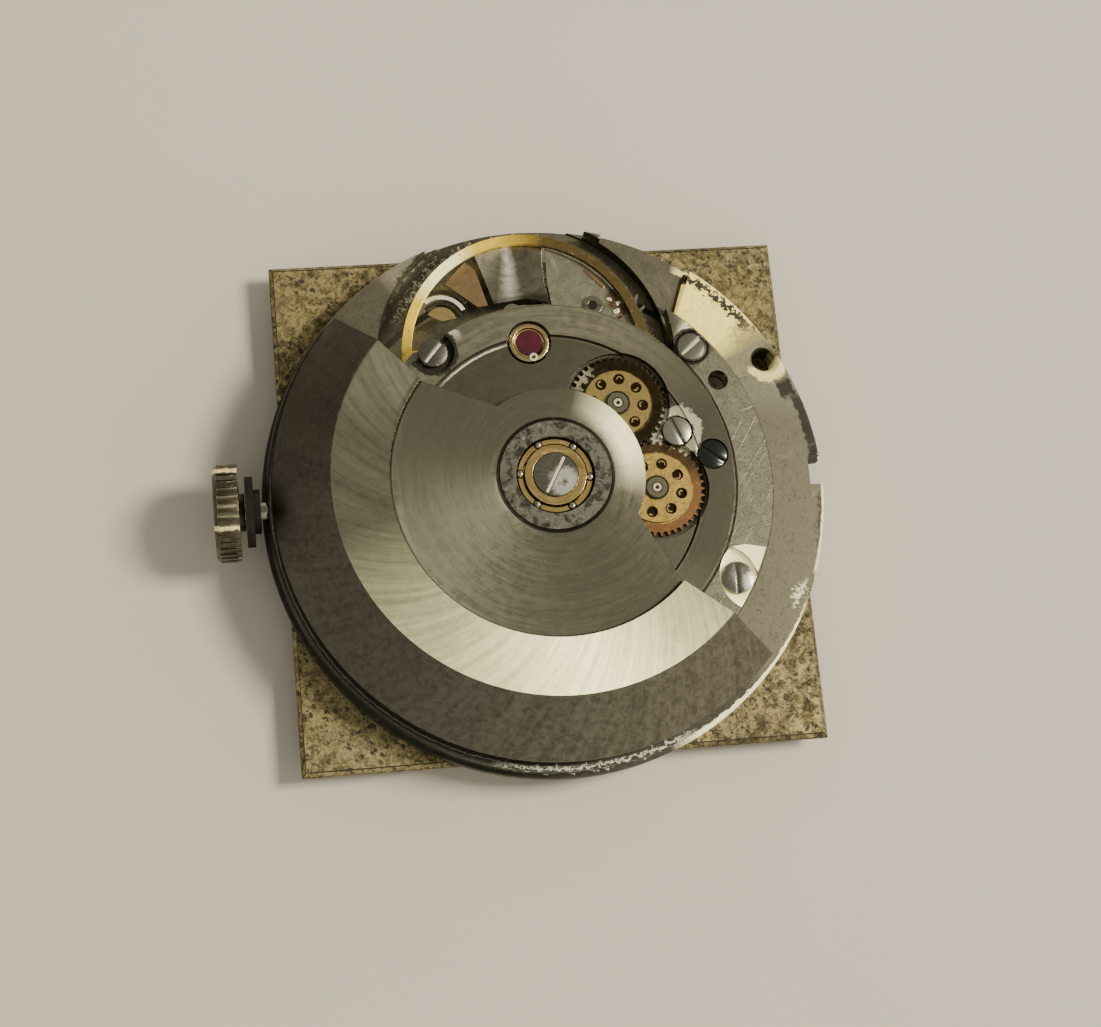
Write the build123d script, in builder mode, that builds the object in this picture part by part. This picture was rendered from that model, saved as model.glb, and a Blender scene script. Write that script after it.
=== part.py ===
from build123d import *
import os
from dataclasses import dataclass
from math import atan2, cos, degrees, hypot, pi, radians, sin

# Self-winding watch movement on its square dial plate. Lengths are in millimetres, angles in degrees.
# The origin is on the movement's axis, at the hour hand's seat. +Z points to the rotor, the crown is at -X.
os.makedirs("parts", exist_ok=True)

# Clearances
fit = 0.01
run = 0.03
gap = 0.05
over = 1.0

# Dial plate
dial_side = 24.0
dial_thick = 0.5
dial_face = 0.1
dial_bevel = 0.2
dial_hole_r = 1.15
dial_foot_r = 0.35
dial_foot_long = 0.9
dial_foot_in = 1.5
dial_foot_angles = (35.0, 215.0)

# Main plate
plate_r = 12.8
plate_thick = 1.6
flange_over = 0.2
flange_r = plate_r + flange_over
dial_foot_ring = plate_r - dial_foot_in
flange_thick = 0.5
step_in = 0.15
step_r = plate_r - step_in
step_thick = 0.35
rim_chamfer = 0.08
train_deep = 1.0
motion_deep = 0.45
hour_deep = 0.22
recess_r = 6.85
recess_deep = 1.25
recess_low_y = 3.0
shelf_deep = 0.45
shelf_start = 54.0
shelf_step = 63.2
shelf_end = 73.5
shelf_step_in = 0.4
shelf_step_r = plate_r - shelf_step_in
shelf_inner_r = 9.04
shelf_inner_angle = 47.2
notch_angles = (-2.2, 4.0)
notch_in = 0.6
notch_r = plate_r - notch_in
rim_hole = (10.72, 5.7)
rim_hole_r = 0.55
rim_sink_r = 0.75
stud_r = 0.25

# Bridges
bridge_thick = 0.9
bridge_in = 0.15
thin_thick = 0.22
split_angle = 40.0
split_reach = 1.4
barrel_bridge_side = 3.4
finger_width = 1.54
winding_deep = 0.5
case_hole = (8.21, 4.52)
case_hole_r = 0.47
leaf_deep = 0.25
leaf_tips = ((7.95, -3.35), (8.35, -6.3))
leaf_wide = 1.75
pad_deep = 0.04
pad_size = (1.75, 1.75)

# Balance
balance_at = (-0.5, 6.5)
rim_r = 5.72
rim_width = 0.45
rim_low = 2.5
rim_high = 2.8
balance_room = 0.28
arm_width = 0.7
arm_thick = 0.15
arm_low = 2.57
hub_r = 0.6
staff_r = 0.2
pivot_r = 0.1
roller_r = 0.8
roller_low = 2.1
roller_thick = 0.15
impulse_reach = 0.55
impulse_r = 0.12
spring_inner_r = 0.55
spring_pitch = 0.22
spring_turns = 6
spring_wire = 0.06
spring_low = 2.9
spring_high = 3.02
cock_low = 3.15
cock_high = 3.55
cock_foot_high = 3.2
cock_foot = (-7.35, 4.75)
cock_foot_r = 1.1
cock_width = 2.6
cock_end_r = 2.0
shock_r = 0.9
shock_high = 4.1
shock_low_r = 0.7
cap_jewel_r = 0.42
cap_jewel_thick = 0.25
clip_wire_r = 0.06
clip_r = 0.62
regulator_r = 1.5
regulator_thick = 0.08
regulator_heading = 110.0
clip_arc = 300.0
clip_low_r = 0.5

# Escapement
pallet_reach = 2.64
pallet_angle = 25.0
escape_reach = 2.05
escape_angle = 20.0
escape_r = 1.6
escape_teeth = 15
escape_low = 1.85
escape_thick = 0.12
escape_shares = (0.8, 1.0, 0.99, 0.8)
escape_turn_shares = (0.0, 0.45, 0.62, 0.4)
escape_window_shares = (0.46, 0.26)
thin_arbor_share = 0.8
fork_thick = 0.12
fork_end_r = 0.31
fork_arm = 1.15
fork_spread = 68.0
stone_long = 0.5
stone_wide = 0.16
stone_lean = 12.0
pallet_bridge_thick = 0.15
pallet_foot_r = 0.9
pallet_arm_width = 1.5

# Going train
barrel_teeth = 76
centre_teeth = 80
third_teeth = 75
fourth_teeth = 80
pinion_leaves = 10
escape_leaves = 8
centre_low = 1.22
centre_thick = 0.1
wheel_thick = 0.12
fourth_heading = -85.0
centre_wheel_r = 3.5
third_low = 1.85
third_wheel_r = 2.912
fourth_low = 1.5
fourth_wheel_r = 2.2
third_pinion_r = 0.4375
fourth_pinion_r = 0.388
escape_pinion_r = 0.22
arbor_r = 0.14
centre_arbor_r = 0.28
jewel_r = 0.42
jewel_thick = 0.18

# Barrel
barrel_at = (-2.4, -4.6)
barrel_low = 1.36
barrel_high = 2.12
barrel_wall = 0.22
barrel_floor = 0.12
barrel_drum_in = 0.16
barrel_flange_low = 1.5
barrel_flange_thick = 0.22
barrel_arbor_r = 1.0
barrel_pivot_r = 0.5
mainspring_r = 1.25
mainspring_pitch = 0.34
mainspring_turns = 8
mainspring_wire = 0.14
ratchet_low = 2.7
ratchet_thick = 0.2
crown_wheel_teeth = 35
ratchet_teeth = 55
winding_teeth = 14
crown_wheel_at = (-6.7, 0.0)
crown_wheel_r = 2.449
click_at = (-7.0, -3.55)
click_thick = 0.2
click_turn = 4.0
click_bend = 176.0

# Motion works, under the dial
motion_reach = 2.3
cannon_teeth = 12
minute_teeth = 36
setting_teeth = 26
minute_leaves = 10
hour_teeth = 40
hour_tip_r = 0.8
hour_pipe_r = 0.97
hour_pipe_end = -0.5
hour_low = 0.64
hour_thick = 0.14
cannon_tip_r = 0.45
cannon_pipe_r = 0.62
cannon_end = -1.0
cannon_low = 0.82
cannon_thick = 0.18
minute_low = 0.87
minute_thick = 0.13
minute_pinion_low = 0.64
setting_wheel_at = (-5.2, 0.0)
setting_low = 0.82
setting_thick = 0.18

# Stem and keyless works
stem_z = 1.72
stem_r = 0.4
stem_hub_r = 0.43
groove_r = 0.26
groove_at = -10.85
groove_long = 0.5
square_side = 0.5
square_start = -8.6
square_end = -6.9
pilot_r = 0.2
pilot_end = -5.75
seal_block_long = 0.3
seal_block_end = -flange_r - gap
seal_disc_long = 0.35
seal_disc_end = seal_block_end - seal_block_long
seal_disc_start = seal_disc_end - seal_disc_long
crown_tube_long = 0.25
crown_tube_end = seal_disc_start - gap
crown_long = 1.1
crown_inner = crown_tube_end - crown_tube_long
crown_outer = crown_inner - crown_long
crown_r = 2.22
crown_root_r = 2.06
crown_teeth = 34
crown_dome = 0.18
crown_tube_r = 0.85
seal_disc_r = 1.6
seal_block_r = 1.0
winding_teeth_start = -9.55
winding_teeth_long = 0.48
winding_end = -8.55
winding_r = 0.98
winding_hub_r = 0.72
face_tooth_long = 0.12
face_teeth = 6
face_tooth_share = 0.21
clutch_turn_share = 0.5
clutch_start = -8.4
clutch_end = -7.1
clutch_r = 0.75
clutch_groove_r = 0.52
clutch_groove = (-7.95, -7.55)
slot_half = 1.15
slot_ends = (-9.75, -6.55)
lever_low = 0.72
lever_thick = 0.25
lever_width = 0.8
setting_lever_at = (-11.15, -2.9)
setting_pin = (-10.85, -0.5)
setting_pin_r = 0.18
yoke_at = (-7.53, -3.2)
yoke_nib = (-7.75, -0.77)
yoke_nib_r = 0.13
lever_room = (
    (-6.55, 1.15),
    (-11.95, 1.15),
    (-12.25, -2.0),
    (-11.75, -4.3),
    (-11.0, -5.3),
    (-8.75, -5.6),
    (-6.75, -4.2),
)
pin_room = (-11.55, -0.6)
pin_room_width = 0.9
lever_spring_low = 0.62
lever_spring_thick = 0.07

# Automatic work
auto_lower_thick = 0.15
auto_r = 8.28
auto_inner_r = 6.8
auto_thick = 1.1
floor_low = 3.65
floor_high = 4.05
pocket_floor = 3.85
reverser_a_at = (3.26, 3.4)
reverser_b_at = (4.64, -0.65)
rotor_gear_teeth = 50
reverser_teeth = 42
reverser_low = 3.92
reverser_a_thick = 0.13
reverser_b_thick = 0.06
reverser_high = 4.11
reverser_disc_share = 0.75
reverser_hole_r = 0.25
reverser_hole_ring = 1.14
reverser_holes = 8
reverser_a_first = -8.0
reverser_b_first = 28.5
rotor_gear_low = 4.0
rotor_gear_thick = 0.06
reverser_hub_r = 0.28
hub_head_r = 0.55
hub_high = 4.22
pinion_low = 3.28
pinion_high = 3.58
pinion_r = 0.4
pinion_teeth = 8
reduction_r = 2.0
reduction_low = 3.28
reduction_pinion_low = 3.42
reduction_pinion_r = 0.35
driver_r = 3.7
driver_low = 3.46
driver_pinion_teeth = 7
reduction_teeth = 40
reduction_leaves = 7
driver_teeth = 74
auto_wheel_thick = 0.1
screw_auto_right = (7.34, 0.74)
screw_auto_left = (-4.9, 6.25)
screw_auto_low_angle = 290.0
screw_auto_ring = 7.55
screw_land = (5.83, 1.92)
land_high = 0.09
land_inner = 5.6
land_angles = (2.0, 36.0)

# Rotor and its ball bearing
rotor_heading = 227.5
rotor_in = 0.3
rotor_cone_wide = 2.55
rotor_ring_wide = 2.6
rotor_mass_wide = 2.15
rotor_step_wide = 1.45
rotor_outer_r = plate_r - rotor_in
rotor_band_r = rotor_outer_r - rotor_cone_wide
rotor_ring_r = rotor_band_r - rotor_ring_wide
rotor_top = 5.4
rotor_lip_top = 3.1
rotor_lip_low = 2.88
rotor_mass_r = rotor_outer_r - rotor_mass_wide
bridge_r = rotor_mass_r - bridge_in
rotor_step_r = rotor_mass_r - rotor_step_wide
rotor_mid_low = 3.3
rotor_high_low = 4.5
rotor_ledge = 0.35
rotor_plate_low = 4.75
rotor_plate_high = 5.05
rotor_neck_r = 4.05
rotor_neck_half = 3.95
rotor_end_along = 0.35
rotor_tip_along = -0.15
bearing_outer_r = 2.5
bearing_bore_r = 1.76
bearing_high = 5.1
race_r = 1.37
race_bore_r = 0.6
race_foot_r = 1.6
race_foot_high = 4.35
race_high = 5.06
ball_ring_r = 1.565
ball_r = 0.185
ball_z = 4.86
ball_count = 6
ball_first = -6.0
cage_half = 0.1
cage_low = 4.56
cage_high = 4.9
screw_head_r = 1.0
screw_head_thick = 0.16
screw_top = 5.12
screw_shank_r = 0.55
screw_slot = 60.0

# Screws
bridge_head_r = 0.73
bridge_shank_r = 0.33
bridge_shank_long = 1.1
head_thick = 0.3
auto_head_r = 0.66
auto_shank_r = 0.28
auto_slots = (-39.0, -68.0, 15.0)
auto_left_slot = 48.0
small_head_r = 0.36
small_head_thick = 0.16
small_shank_r = 0.17
small_shank_long = 0.35
small_slot = 20.0
crown_screw_r = 0.72
crown_screw_thick = 0.11
slot_width = 0.16
slot_deep = 0.12

# Heights that follow from the stack
seat = dial_face + dial_thick
plate_top = seat + plate_thick
train_floor = plate_top - train_deep
motion_roof = seat + motion_deep
recess_floor = plate_top - recess_deep
bridge_top = plate_top + bridge_thick
thin_top = plate_top + thin_thick
auto_base = bridge_top + auto_lower_thick
auto_top = bridge_top + auto_thick
winding_floor = bridge_top - winding_deep
cap_low = shock_high - cap_jewel_thick - 3 * gap
cock_room_top = cock_high + regulator_thick + 3 * gap
axis = (0.0, 0.0)
UPRIGHT = (Align.CENTER, Align.CENTER, Align.MIN)


def polar(radius, angle, centre=axis):
    """Point at a radius and an angle from a centre."""
    return centre[0] + radius * cos(radians(angle)), centre[1] + radius * sin(radians(angle))


def apart(a, b):
    """Distance between two points."""
    return hypot(b[0] - a[0], b[1] - a[1])


def heading(a, b):
    """Direction from one point to another."""
    return degrees(atan2(b[1] - a[1], b[0] - a[0]))


def middle(a, b):
    """Point halfway between two points."""
    return (a[0] + b[0]) / 2, (a[1] + b[1]) / 2


def meeting(a, reach_a, b, reach_b, side):
    """Point at given distances from two points: side 1 is left of the way from a to b, -1 is right."""
    base = apart(a, b)
    along = (reach_a**2 - reach_b**2 + base**2) / (2 * base)
    aside = max(reach_a**2 - along**2, 0) ** 0.5
    foot = polar(along, heading(a, b), a)
    return polar(side * aside, heading(a, b) + 90, foot)


@dataclass
class Gear:
    """A toothed wheel: its centre, teeth and pitch radius, and the angle of its first tooth."""

    place: tuple
    teeth: int
    pitch_r: float
    phase: float = 0.0
    tip_share = 0.75
    root_share = 1.0
    tip_width_share = 0.2
    root_width_share = 0.54

    def module(self):
        """Pitch diameter over the number of teeth."""
        return 2 * self.pitch_r / self.teeth

    def tip_r(self):
        """Radius over the teeth."""
        return self.pitch_r + self.tip_share * self.module()

    def root_r(self):
        """Radius at the foot of the teeth."""
        return self.pitch_r - self.root_share * self.module()

    def outline(self):
        """Corner points of the toothed outline."""
        pitch = 360 / self.teeth
        points = []
        for tooth in range(self.teeth):
            here = self.phase + tooth * pitch
            points.append(polar(self.root_r(), here - self.root_width_share * pitch / 2, self.place))
            points.append(polar(self.tip_r(), here - self.tip_width_share * pitch / 2, self.place))
            points.append(polar(self.tip_r(), here + self.tip_width_share * pitch / 2, self.place))
            points.append(polar(self.root_r(), here + self.root_width_share * pitch / 2, self.place))
        return points

    def meshed(self, place, teeth, pitch_r):
        """The gear that meshes with this one, turned so that its gaps meet these teeth."""
        way = heading(self.place, place)
        step = ((way - self.phase) / (360 / self.teeth)) % 1
        return Gear(place, teeth, pitch_r, way + 180 - (0.5 - step) * 360 / teeth)


def toothed(gear, low):
    """Face of a gear at a height."""
    with BuildSketch(Plane.XY.offset(low)) as profile:
        with BuildLine():
            Polyline(*gear.outline(), close=True)
        make_face()
    return profile.sketch


def sector(inner, outer, start, end, low, centre=axis):
    """Face of a ring's sector at a height."""
    with BuildSketch(Plane.XY.offset(low)) as profile:
        with BuildLine():
            far = CenterArc(centre, outer, start, end - start)
            near = CenterArc(centre, inner, start, end - start)
            Line(far @ 0, near @ 0)
            Line(far @ 1, near @ 1)
        make_face()
    return profile.sketch


def outline(points, low):
    """Face through corner points at a height."""
    with BuildSketch(Plane.XY.offset(low)) as profile:
        with BuildLine():
            Polyline(*points, close=True)
        make_face()
    return profile.sketch


def link(a, b, width, low):
    """Face of a bar with round ends between two points, at a height."""
    with BuildSketch(Plane.XY.offset(low)) as profile:
        with Locations(middle(a, b)):
            SlotCenterToCenter(apart(a, b), width, rotation=heading(a, b))
    return profile.sketch


def meeting_arcs(a, b, wide, low):
    """Face of a leaf between two tips, at a height."""
    with BuildSketch(Plane.XY.offset(low)) as profile:
        with BuildLine():
            bulge = polar(wide / 2, heading(a, b) + 90, middle(a, b))
            hollow = polar(wide / 2, heading(a, b) - 90, middle(a, b))
            ThreePointArc(a, bulge, b)
            ThreePointArc(b, hollow, a)
        make_face()
    return profile.sketch


def spiral(centre, inner, pitch, turns, wire, low):
    """Face of a flat spiral strip made of half circles, at a height."""
    with BuildSketch(Plane.XY.offset(low)) as profile:
        with BuildLine():
            shores = []
            for offset in (wire / 2, -wire / 2):
                for half in range(2 * turns):
                    side = half % 2
                    hub = (centre[0] - pitch / 4 * (1 - 2 * side), centre[1])
                    radius = inner + pitch / 4 + half * pitch / 2 + offset
                    shores.append(CenterArc(hub, radius, 180 * side, 180))
            Line(shores[0] @ 0, shores[2 * turns] @ 0)
            Line(shores[2 * turns - 1] @ 1, shores[-1] @ 1)
        make_face()
    return profile.sketch


def post(place, radius, low, high, mode=Mode.ADD):
    """Adds or cuts an upright cylinder between two heights."""
    with Locations((place[0], place[1], low)):
        Cylinder(radius, high - low, align=UPRIGHT, mode=mode)


def rod(radius, start, end, mode=Mode.ADD):
    """Adds or cuts a cylinder on the stem's axis between two places along X."""
    with Locations(Location((start, 0, stem_z), (0, 90, 0))):
        Cylinder(radius, end - start, align=UPRIGHT, mode=mode)


def screw(place, top, head_r, thick, shank_r, long, slot_angle):
    """Adds a slotted cheese head screw whose head ends at a height."""
    post(place, head_r, top - thick, top)
    post(place, shank_r, top - thick - long, top - thick)
    with Locations(Location((place[0], place[1], top), (0, 0, slot_angle))):
        Box(2 * (head_r + gap), slot_width, 2 * slot_deep, mode=Mode.SUBTRACT)


def screw_hole(place, top, head_r, thick, shank_r, long):
    """Cuts a screw's seat: room for the head and a close hole for the shank."""
    post(place, head_r + gap, top - thick, top + over, Mode.SUBTRACT)
    post(place, shank_r + fit, top - thick - long - gap, top, Mode.SUBTRACT)


def finish(builder, label):
    """Labels a finished piece and writes it."""
    builder.part.label = label
    export_step(builder.part, f"parts/{label}.step")


# Places and gears of the going train, from the barrel to the escape wheel
pallet_at = polar(pallet_reach, pallet_angle, balance_at)
escape_at = polar(escape_reach, escape_angle, pallet_at)
fourth_at = polar(fourth_wheel_r + escape_pinion_r, fourth_heading, escape_at)
third_at = meeting(axis, centre_wheel_r + third_pinion_r, fourth_at, third_wheel_r + fourth_pinion_r, -1)
barrel_reach = apart(axis, barrel_at)
barrel_pinion_r = barrel_reach * pinion_leaves / (barrel_teeth + pinion_leaves)
barrel_gear = Gear(barrel_at, barrel_teeth, barrel_reach - barrel_pinion_r)
barrel_drum_r = barrel_gear.root_r() - barrel_drum_in
barrel_pinion = barrel_gear.meshed(axis, pinion_leaves, barrel_pinion_r)
centre_gear = Gear(axis, centre_teeth, centre_wheel_r)
third_pinion = centre_gear.meshed(third_at, pinion_leaves, third_pinion_r)
third_gear = Gear(third_at, third_teeth, third_wheel_r)
fourth_pinion = third_gear.meshed(fourth_at, pinion_leaves, fourth_pinion_r)
fourth_gear = Gear(fourth_at, fourth_teeth, fourth_wheel_r)
escape_pinion = fourth_gear.meshed(escape_at, escape_leaves, escape_pinion_r)

# Places and gears of the winding work
winding_reach = apart(crown_wheel_at, barrel_at)
crown_gear = Gear(crown_wheel_at, crown_wheel_teeth, crown_wheel_r, 180.0)
ratchet_gear = crown_gear.meshed(barrel_at, ratchet_teeth, winding_reach - crown_wheel_r)
driver_pinion_r = ratchet_gear.module() * driver_pinion_teeth / 2
reverser_r = apart(reverser_a_at, reverser_b_at) / 2
rotor_gear = Gear(axis, rotor_gear_teeth, apart(axis, reverser_a_at) - reverser_r)
reverser_a = rotor_gear.meshed(reverser_a_at, reverser_teeth, reverser_r)
reverser_b = reverser_a.meshed(reverser_b_at, reverser_teeth, reverser_r)
reduction_at = meeting(reverser_a_at, reduction_r + pinion_r, reverser_b_at, reduction_r + pinion_r, -1)
reduction_gear = Gear(reduction_at, reduction_teeth, reduction_r)
pinion_a = reduction_gear.meshed(reverser_a_at, pinion_teeth, pinion_r)
pinion_b = reduction_gear.meshed(reverser_b_at, pinion_teeth, pinion_r)
driver_at = meeting(
    reduction_at, driver_r + reduction_pinion_r, barrel_at, ratchet_gear.pitch_r + driver_pinion_r, -1
)
driver_pinion = ratchet_gear.meshed(driver_at, driver_pinion_teeth, driver_pinion_r)
driver_gear = Gear(driver_at, driver_teeth, driver_r)
reduction_pinion = driver_gear.meshed(reduction_at, reduction_leaves, reduction_pinion_r)

# Gears of the motion works
cannon_share = cannon_teeth / (cannon_teeth + minute_teeth)
minute_r = motion_reach * (1 - cannon_share)
setting_r = minute_r * setting_teeth / minute_teeth
minute_pinion_share = minute_leaves / (minute_leaves + hour_teeth)
cannon_gear = Gear(axis, cannon_teeth, motion_reach * cannon_share)
minute_at = meeting(axis, motion_reach, setting_wheel_at, minute_r + setting_r, -1)
minute_gear = cannon_gear.meshed(minute_at, minute_teeth, minute_r)
setting_gear = minute_gear.meshed(setting_wheel_at, setting_teeth, setting_r)
minute_pinion = Gear(minute_at, minute_leaves, motion_reach * minute_pinion_share)
hour_gear = minute_pinion.meshed(axis, hour_teeth, motion_reach * (1 - minute_pinion_share))

# Screw places
train_screws_at = ((7.13, 6.23), (8.09, -4.79))
barrel_screws_at = ((-8.34, -3.89), (3.2, -8.9))
bridge_screws_at = train_screws_at + barrel_screws_at + (cock_foot,)
bridge_slots = (38.0, 88.0, 20.0, 65.0, 110.0)
auto_low_at = polar(screw_auto_ring, screw_auto_low_angle)
screw_level = bridge_top - gap
pallet_screw_at = (0.9, 10.1)
click_spring_at = (-6.58, -6.12)
lever_screws_at = ((-9.4, -4.6), (-11.15, -4.1))
long_screws_at = (screw_auto_right, screw_land, auto_low_at)


# Dial plate, a square with a bevelled back and two feet
with BuildPart() as dial_plate:
    with BuildSketch(Plane.XY.offset(dial_face)):
        Rectangle(dial_side, dial_side)
    extrude(amount=dial_thick)
    chamfer(dial_plate.faces().sort_by(Axis.Z)[-1].edges(), dial_bevel)
    for foot_angle in dial_foot_angles:
        post(polar(dial_foot_ring, foot_angle), dial_foot_r, seat - gap, seat + dial_foot_long)
    post(axis, dial_hole_r, 0, seat + over, Mode.SUBTRACT)
finish(dial_plate, "dial_plate")

# Main plate, pocketed from both sides
with BuildPart() as main_plate:
    post(axis, plate_r, seat, plate_top)
    chamfer(main_plate.faces().sort_by(Axis.Z)[-1].edges(), rim_chamfer)
    post(axis, flange_r, seat, seat + flange_thick)
    ring_low = seat + flange_thick + step_thick
    extrude(sector(step_r, plate_r + over, 0, 180, ring_low - gap), amount=2 * gap, mode=Mode.SUBTRACT)
    extrude(sector(step_r, plate_r + over, 180, 360, ring_low - gap), amount=2 * gap, mode=Mode.SUBTRACT)
    # Train side: barrel, wheels and the balance recess
    pockets = (
        (barrel_at, barrel_gear.tip_r()),
        (axis, centre_gear.tip_r()),
        (third_at, third_gear.tip_r()),
        (fourth_at, fourth_gear.tip_r()),
        (escape_at, escape_r),
        (balance_at, recess_r - 3 * gap),
    )
    for place, radius in pockets:
        post(place, radius + 3 * gap, train_floor, plate_top + over, Mode.SUBTRACT)
    with BuildSketch(Plane.XY.offset(recess_floor)):
        with Locations(balance_at):
            Circle(recess_r)
        with Locations((0, recess_low_y)):
            Rectangle(4 * recess_r, 4 * recess_r, align=(Align.CENTER, Align.MIN), mode=Mode.INTERSECT)
    extrude(amount=recess_deep + over, mode=Mode.SUBTRACT)
    # Lands that carry the escapement's and the cock's feet
    post(pallet_screw_at, pallet_foot_r, recess_floor - gap, plate_top - pallet_bridge_thick)
    post(cock_foot, cock_foot_r, train_floor, plate_top)
    for place in (escape_at, pallet_at):
        post(place, jewel_r + 2 * gap, recess_floor - gap, train_floor)
    post(balance_at, shock_low_r + 3 * gap, recess_floor - gap, train_floor + 3 * gap)
    # Lower shelf and steps at the rim
    shelf = (
        polar(shelf_inner_r, shelf_inner_angle),
        polar(plate_r + over, shelf_start),
        polar(plate_r + 2 * over, shelf_step),
        polar(plate_r + over, shelf_end),
        polar(shelf_inner_r, shelf_end),
    )
    extrude(outline(shelf, plate_top - shelf_deep), amount=shelf_deep + over, mode=Mode.SUBTRACT)
    step_sector = sector(shelf_step_r, flange_r + over, shelf_start, shelf_step, seat + flange_thick)
    extrude(step_sector, amount=plate_thick, mode=Mode.SUBTRACT)
    notch_sector = sector(notch_r, flange_r + over, notch_angles[0], notch_angles[1], seat - over)
    extrude(notch_sector, amount=plate_thick + 2 * over, mode=Mode.SUBTRACT)
    post(rim_hole, rim_hole_r, seat - over, plate_top + over, Mode.SUBTRACT)
    with Locations((rim_hole[0], rim_hole[1], plate_top - (rim_sink_r - rim_hole_r))):
        Cone(rim_hole_r, rim_sink_r, rim_sink_r - rim_hole_r, align=UPRIGHT, mode=Mode.SUBTRACT)
    for foot_angle in dial_foot_angles:
        foot_top = seat + dial_foot_long + gap
        post(polar(dial_foot_ring, foot_angle), dial_foot_r + fit, seat - over, foot_top, Mode.SUBTRACT)
    # Dial side: motion works and keyless works
    post(axis, hour_gear.tip_r() + 2 * gap, seat - over, seat + hour_deep, Mode.SUBTRACT)
    post(axis, cannon_gear.tip_r() + 2 * gap, seat - over, motion_roof, Mode.SUBTRACT)
    post(minute_at, minute_gear.tip_r() + 2 * gap, seat - over, motion_roof, Mode.SUBTRACT)
    post(setting_wheel_at, setting_gear.tip_r() + 2 * gap, seat - over, motion_roof, Mode.SUBTRACT)
    extrude(outline(lever_room, seat - over), amount=over + motion_deep, mode=Mode.SUBTRACT)
    with Locations((slot_ends[0], 0, seat - over)):
        Box(
            slot_ends[1] - slot_ends[0],
            2 * slot_half,
            plate_thick + 2 * over,
            align=(Align.MIN, Align.CENTER, Align.MIN),
            mode=Mode.SUBTRACT,
        )
    post(minute_at, stud_r, minute_pinion_low, motion_roof)
    post(setting_wheel_at, stud_r, setting_low, motion_roof)
    post(setting_lever_at, stud_r, lever_low, motion_roof)
    post(yoke_at, stud_r, lever_low, motion_roof)
    for place in lever_screws_at:
        post(place, small_head_r + gap, lever_spring_low + lever_spring_thick, motion_roof)
        post(place, small_shank_r + fit, seat - over, motion_roof + 2 * gap, Mode.SUBTRACT)
    # Stem's bore and pilot hole
    rod(stem_hub_r + gap, -flange_r - over, groove_at - groove_long, Mode.SUBTRACT)
    rod(stem_r + run, -flange_r - over, slot_ends[1] - gap, Mode.SUBTRACT)
    rod(pilot_r + run, slot_ends[1] - over, pilot_end + 2 * gap, Mode.SUBTRACT)
    pin_slot = link(setting_pin, pin_room, pin_room_width, motion_roof - gap)
    extrude(pin_slot, amount=plate_top - motion_roof + over, mode=Mode.SUBTRACT)
    # Bores for the centre arbor and the lower jewels
    post(axis, centre_arbor_r + gap, seat, plate_top, Mode.SUBTRACT)
    for place in (third_at, fourth_at, escape_at, pallet_at):
        post(place, jewel_r + fit, train_floor - jewel_thick, train_floor + over, Mode.SUBTRACT)
    post(balance_at, shock_low_r + fit, seat - over, train_floor + over, Mode.SUBTRACT)
    post(barrel_at, barrel_pivot_r + run, train_floor - 2 * gap, train_floor + over, Mode.SUBTRACT)
    for place in bridge_screws_at:
        screw_hole(place, screw_level, bridge_shank_r, head_thick, bridge_shank_r, bridge_shank_long)
    post(pallet_screw_at, small_shank_r + fit, train_floor, plate_top + over, Mode.SUBTRACT)
    post(case_hole, case_hole_r, plate_top - 4 * gap, plate_top + over, Mode.SUBTRACT)
finish(main_plate, "main_plate")

# Hour wheel with its pipe, which carries the hour hand
with BuildPart() as hour_wheel:
    extrude(toothed(hour_gear, hour_low), amount=hour_thick)
    post(axis, hour_tip_r, hour_pipe_end, dial_face)
    post(axis, hour_pipe_r, dial_face - gap, hour_low)
    post(axis, cannon_pipe_r + run, hour_pipe_end - over, hour_low + over, Mode.SUBTRACT)
finish(hour_wheel, "hour_wheel")

# Cannon pinion, friction tight on the centre arbor, which carries the minute hand
with BuildPart() as cannon_pinion:
    extrude(toothed(cannon_gear, cannon_low), amount=cannon_thick)
    post(axis, cannon_tip_r, cannon_end, hour_pipe_end)
    post(axis, cannon_pipe_r, hour_pipe_end - gap, cannon_low)
    post(axis, centre_arbor_r + run, cannon_end - over, cannon_low + over, Mode.SUBTRACT)
finish(cannon_pinion, "cannon_pinion")

# Minute wheel and its pinion
with BuildPart() as minute_wheel:
    extrude(toothed(minute_gear, minute_low), amount=minute_thick)
    extrude(toothed(minute_pinion, minute_pinion_low), amount=minute_low - minute_pinion_low)
    post(minute_at, stud_r + run, seat - over, motion_roof + over, Mode.SUBTRACT)
finish(minute_wheel, "minute_wheel")

# Setting wheel between the clutch and the minute wheel
with BuildPart() as setting_wheel:
    extrude(toothed(setting_gear, setting_low), amount=setting_thick)
    post(setting_wheel_at, stud_r + run, setting_low - over, motion_roof + over, Mode.SUBTRACT)
finish(setting_wheel, "setting_wheel")

# Setting lever, whose pin stands in the stem's groove
with BuildPart() as setting_lever:
    extrude(link(setting_lever_at, setting_pin, lever_width, lever_low), amount=lever_thick)
    post(setting_pin, setting_pin_r, lever_low, stem_z)
    post(setting_lever_at, stud_r + run, lever_low - over, lever_low + over, Mode.SUBTRACT)
finish(setting_lever, "setting_lever")

# Yoke, whose nib moves the sliding clutch
with BuildPart() as yoke:
    extrude(link(yoke_at, yoke_nib, lever_width, lever_low), amount=lever_thick)
    post(yoke_nib, yoke_nib_r, lever_low, stem_z)
    post(yoke_at, stud_r + run, lever_low - over, lever_low + over, Mode.SUBTRACT)
finish(yoke, "yoke")

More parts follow.
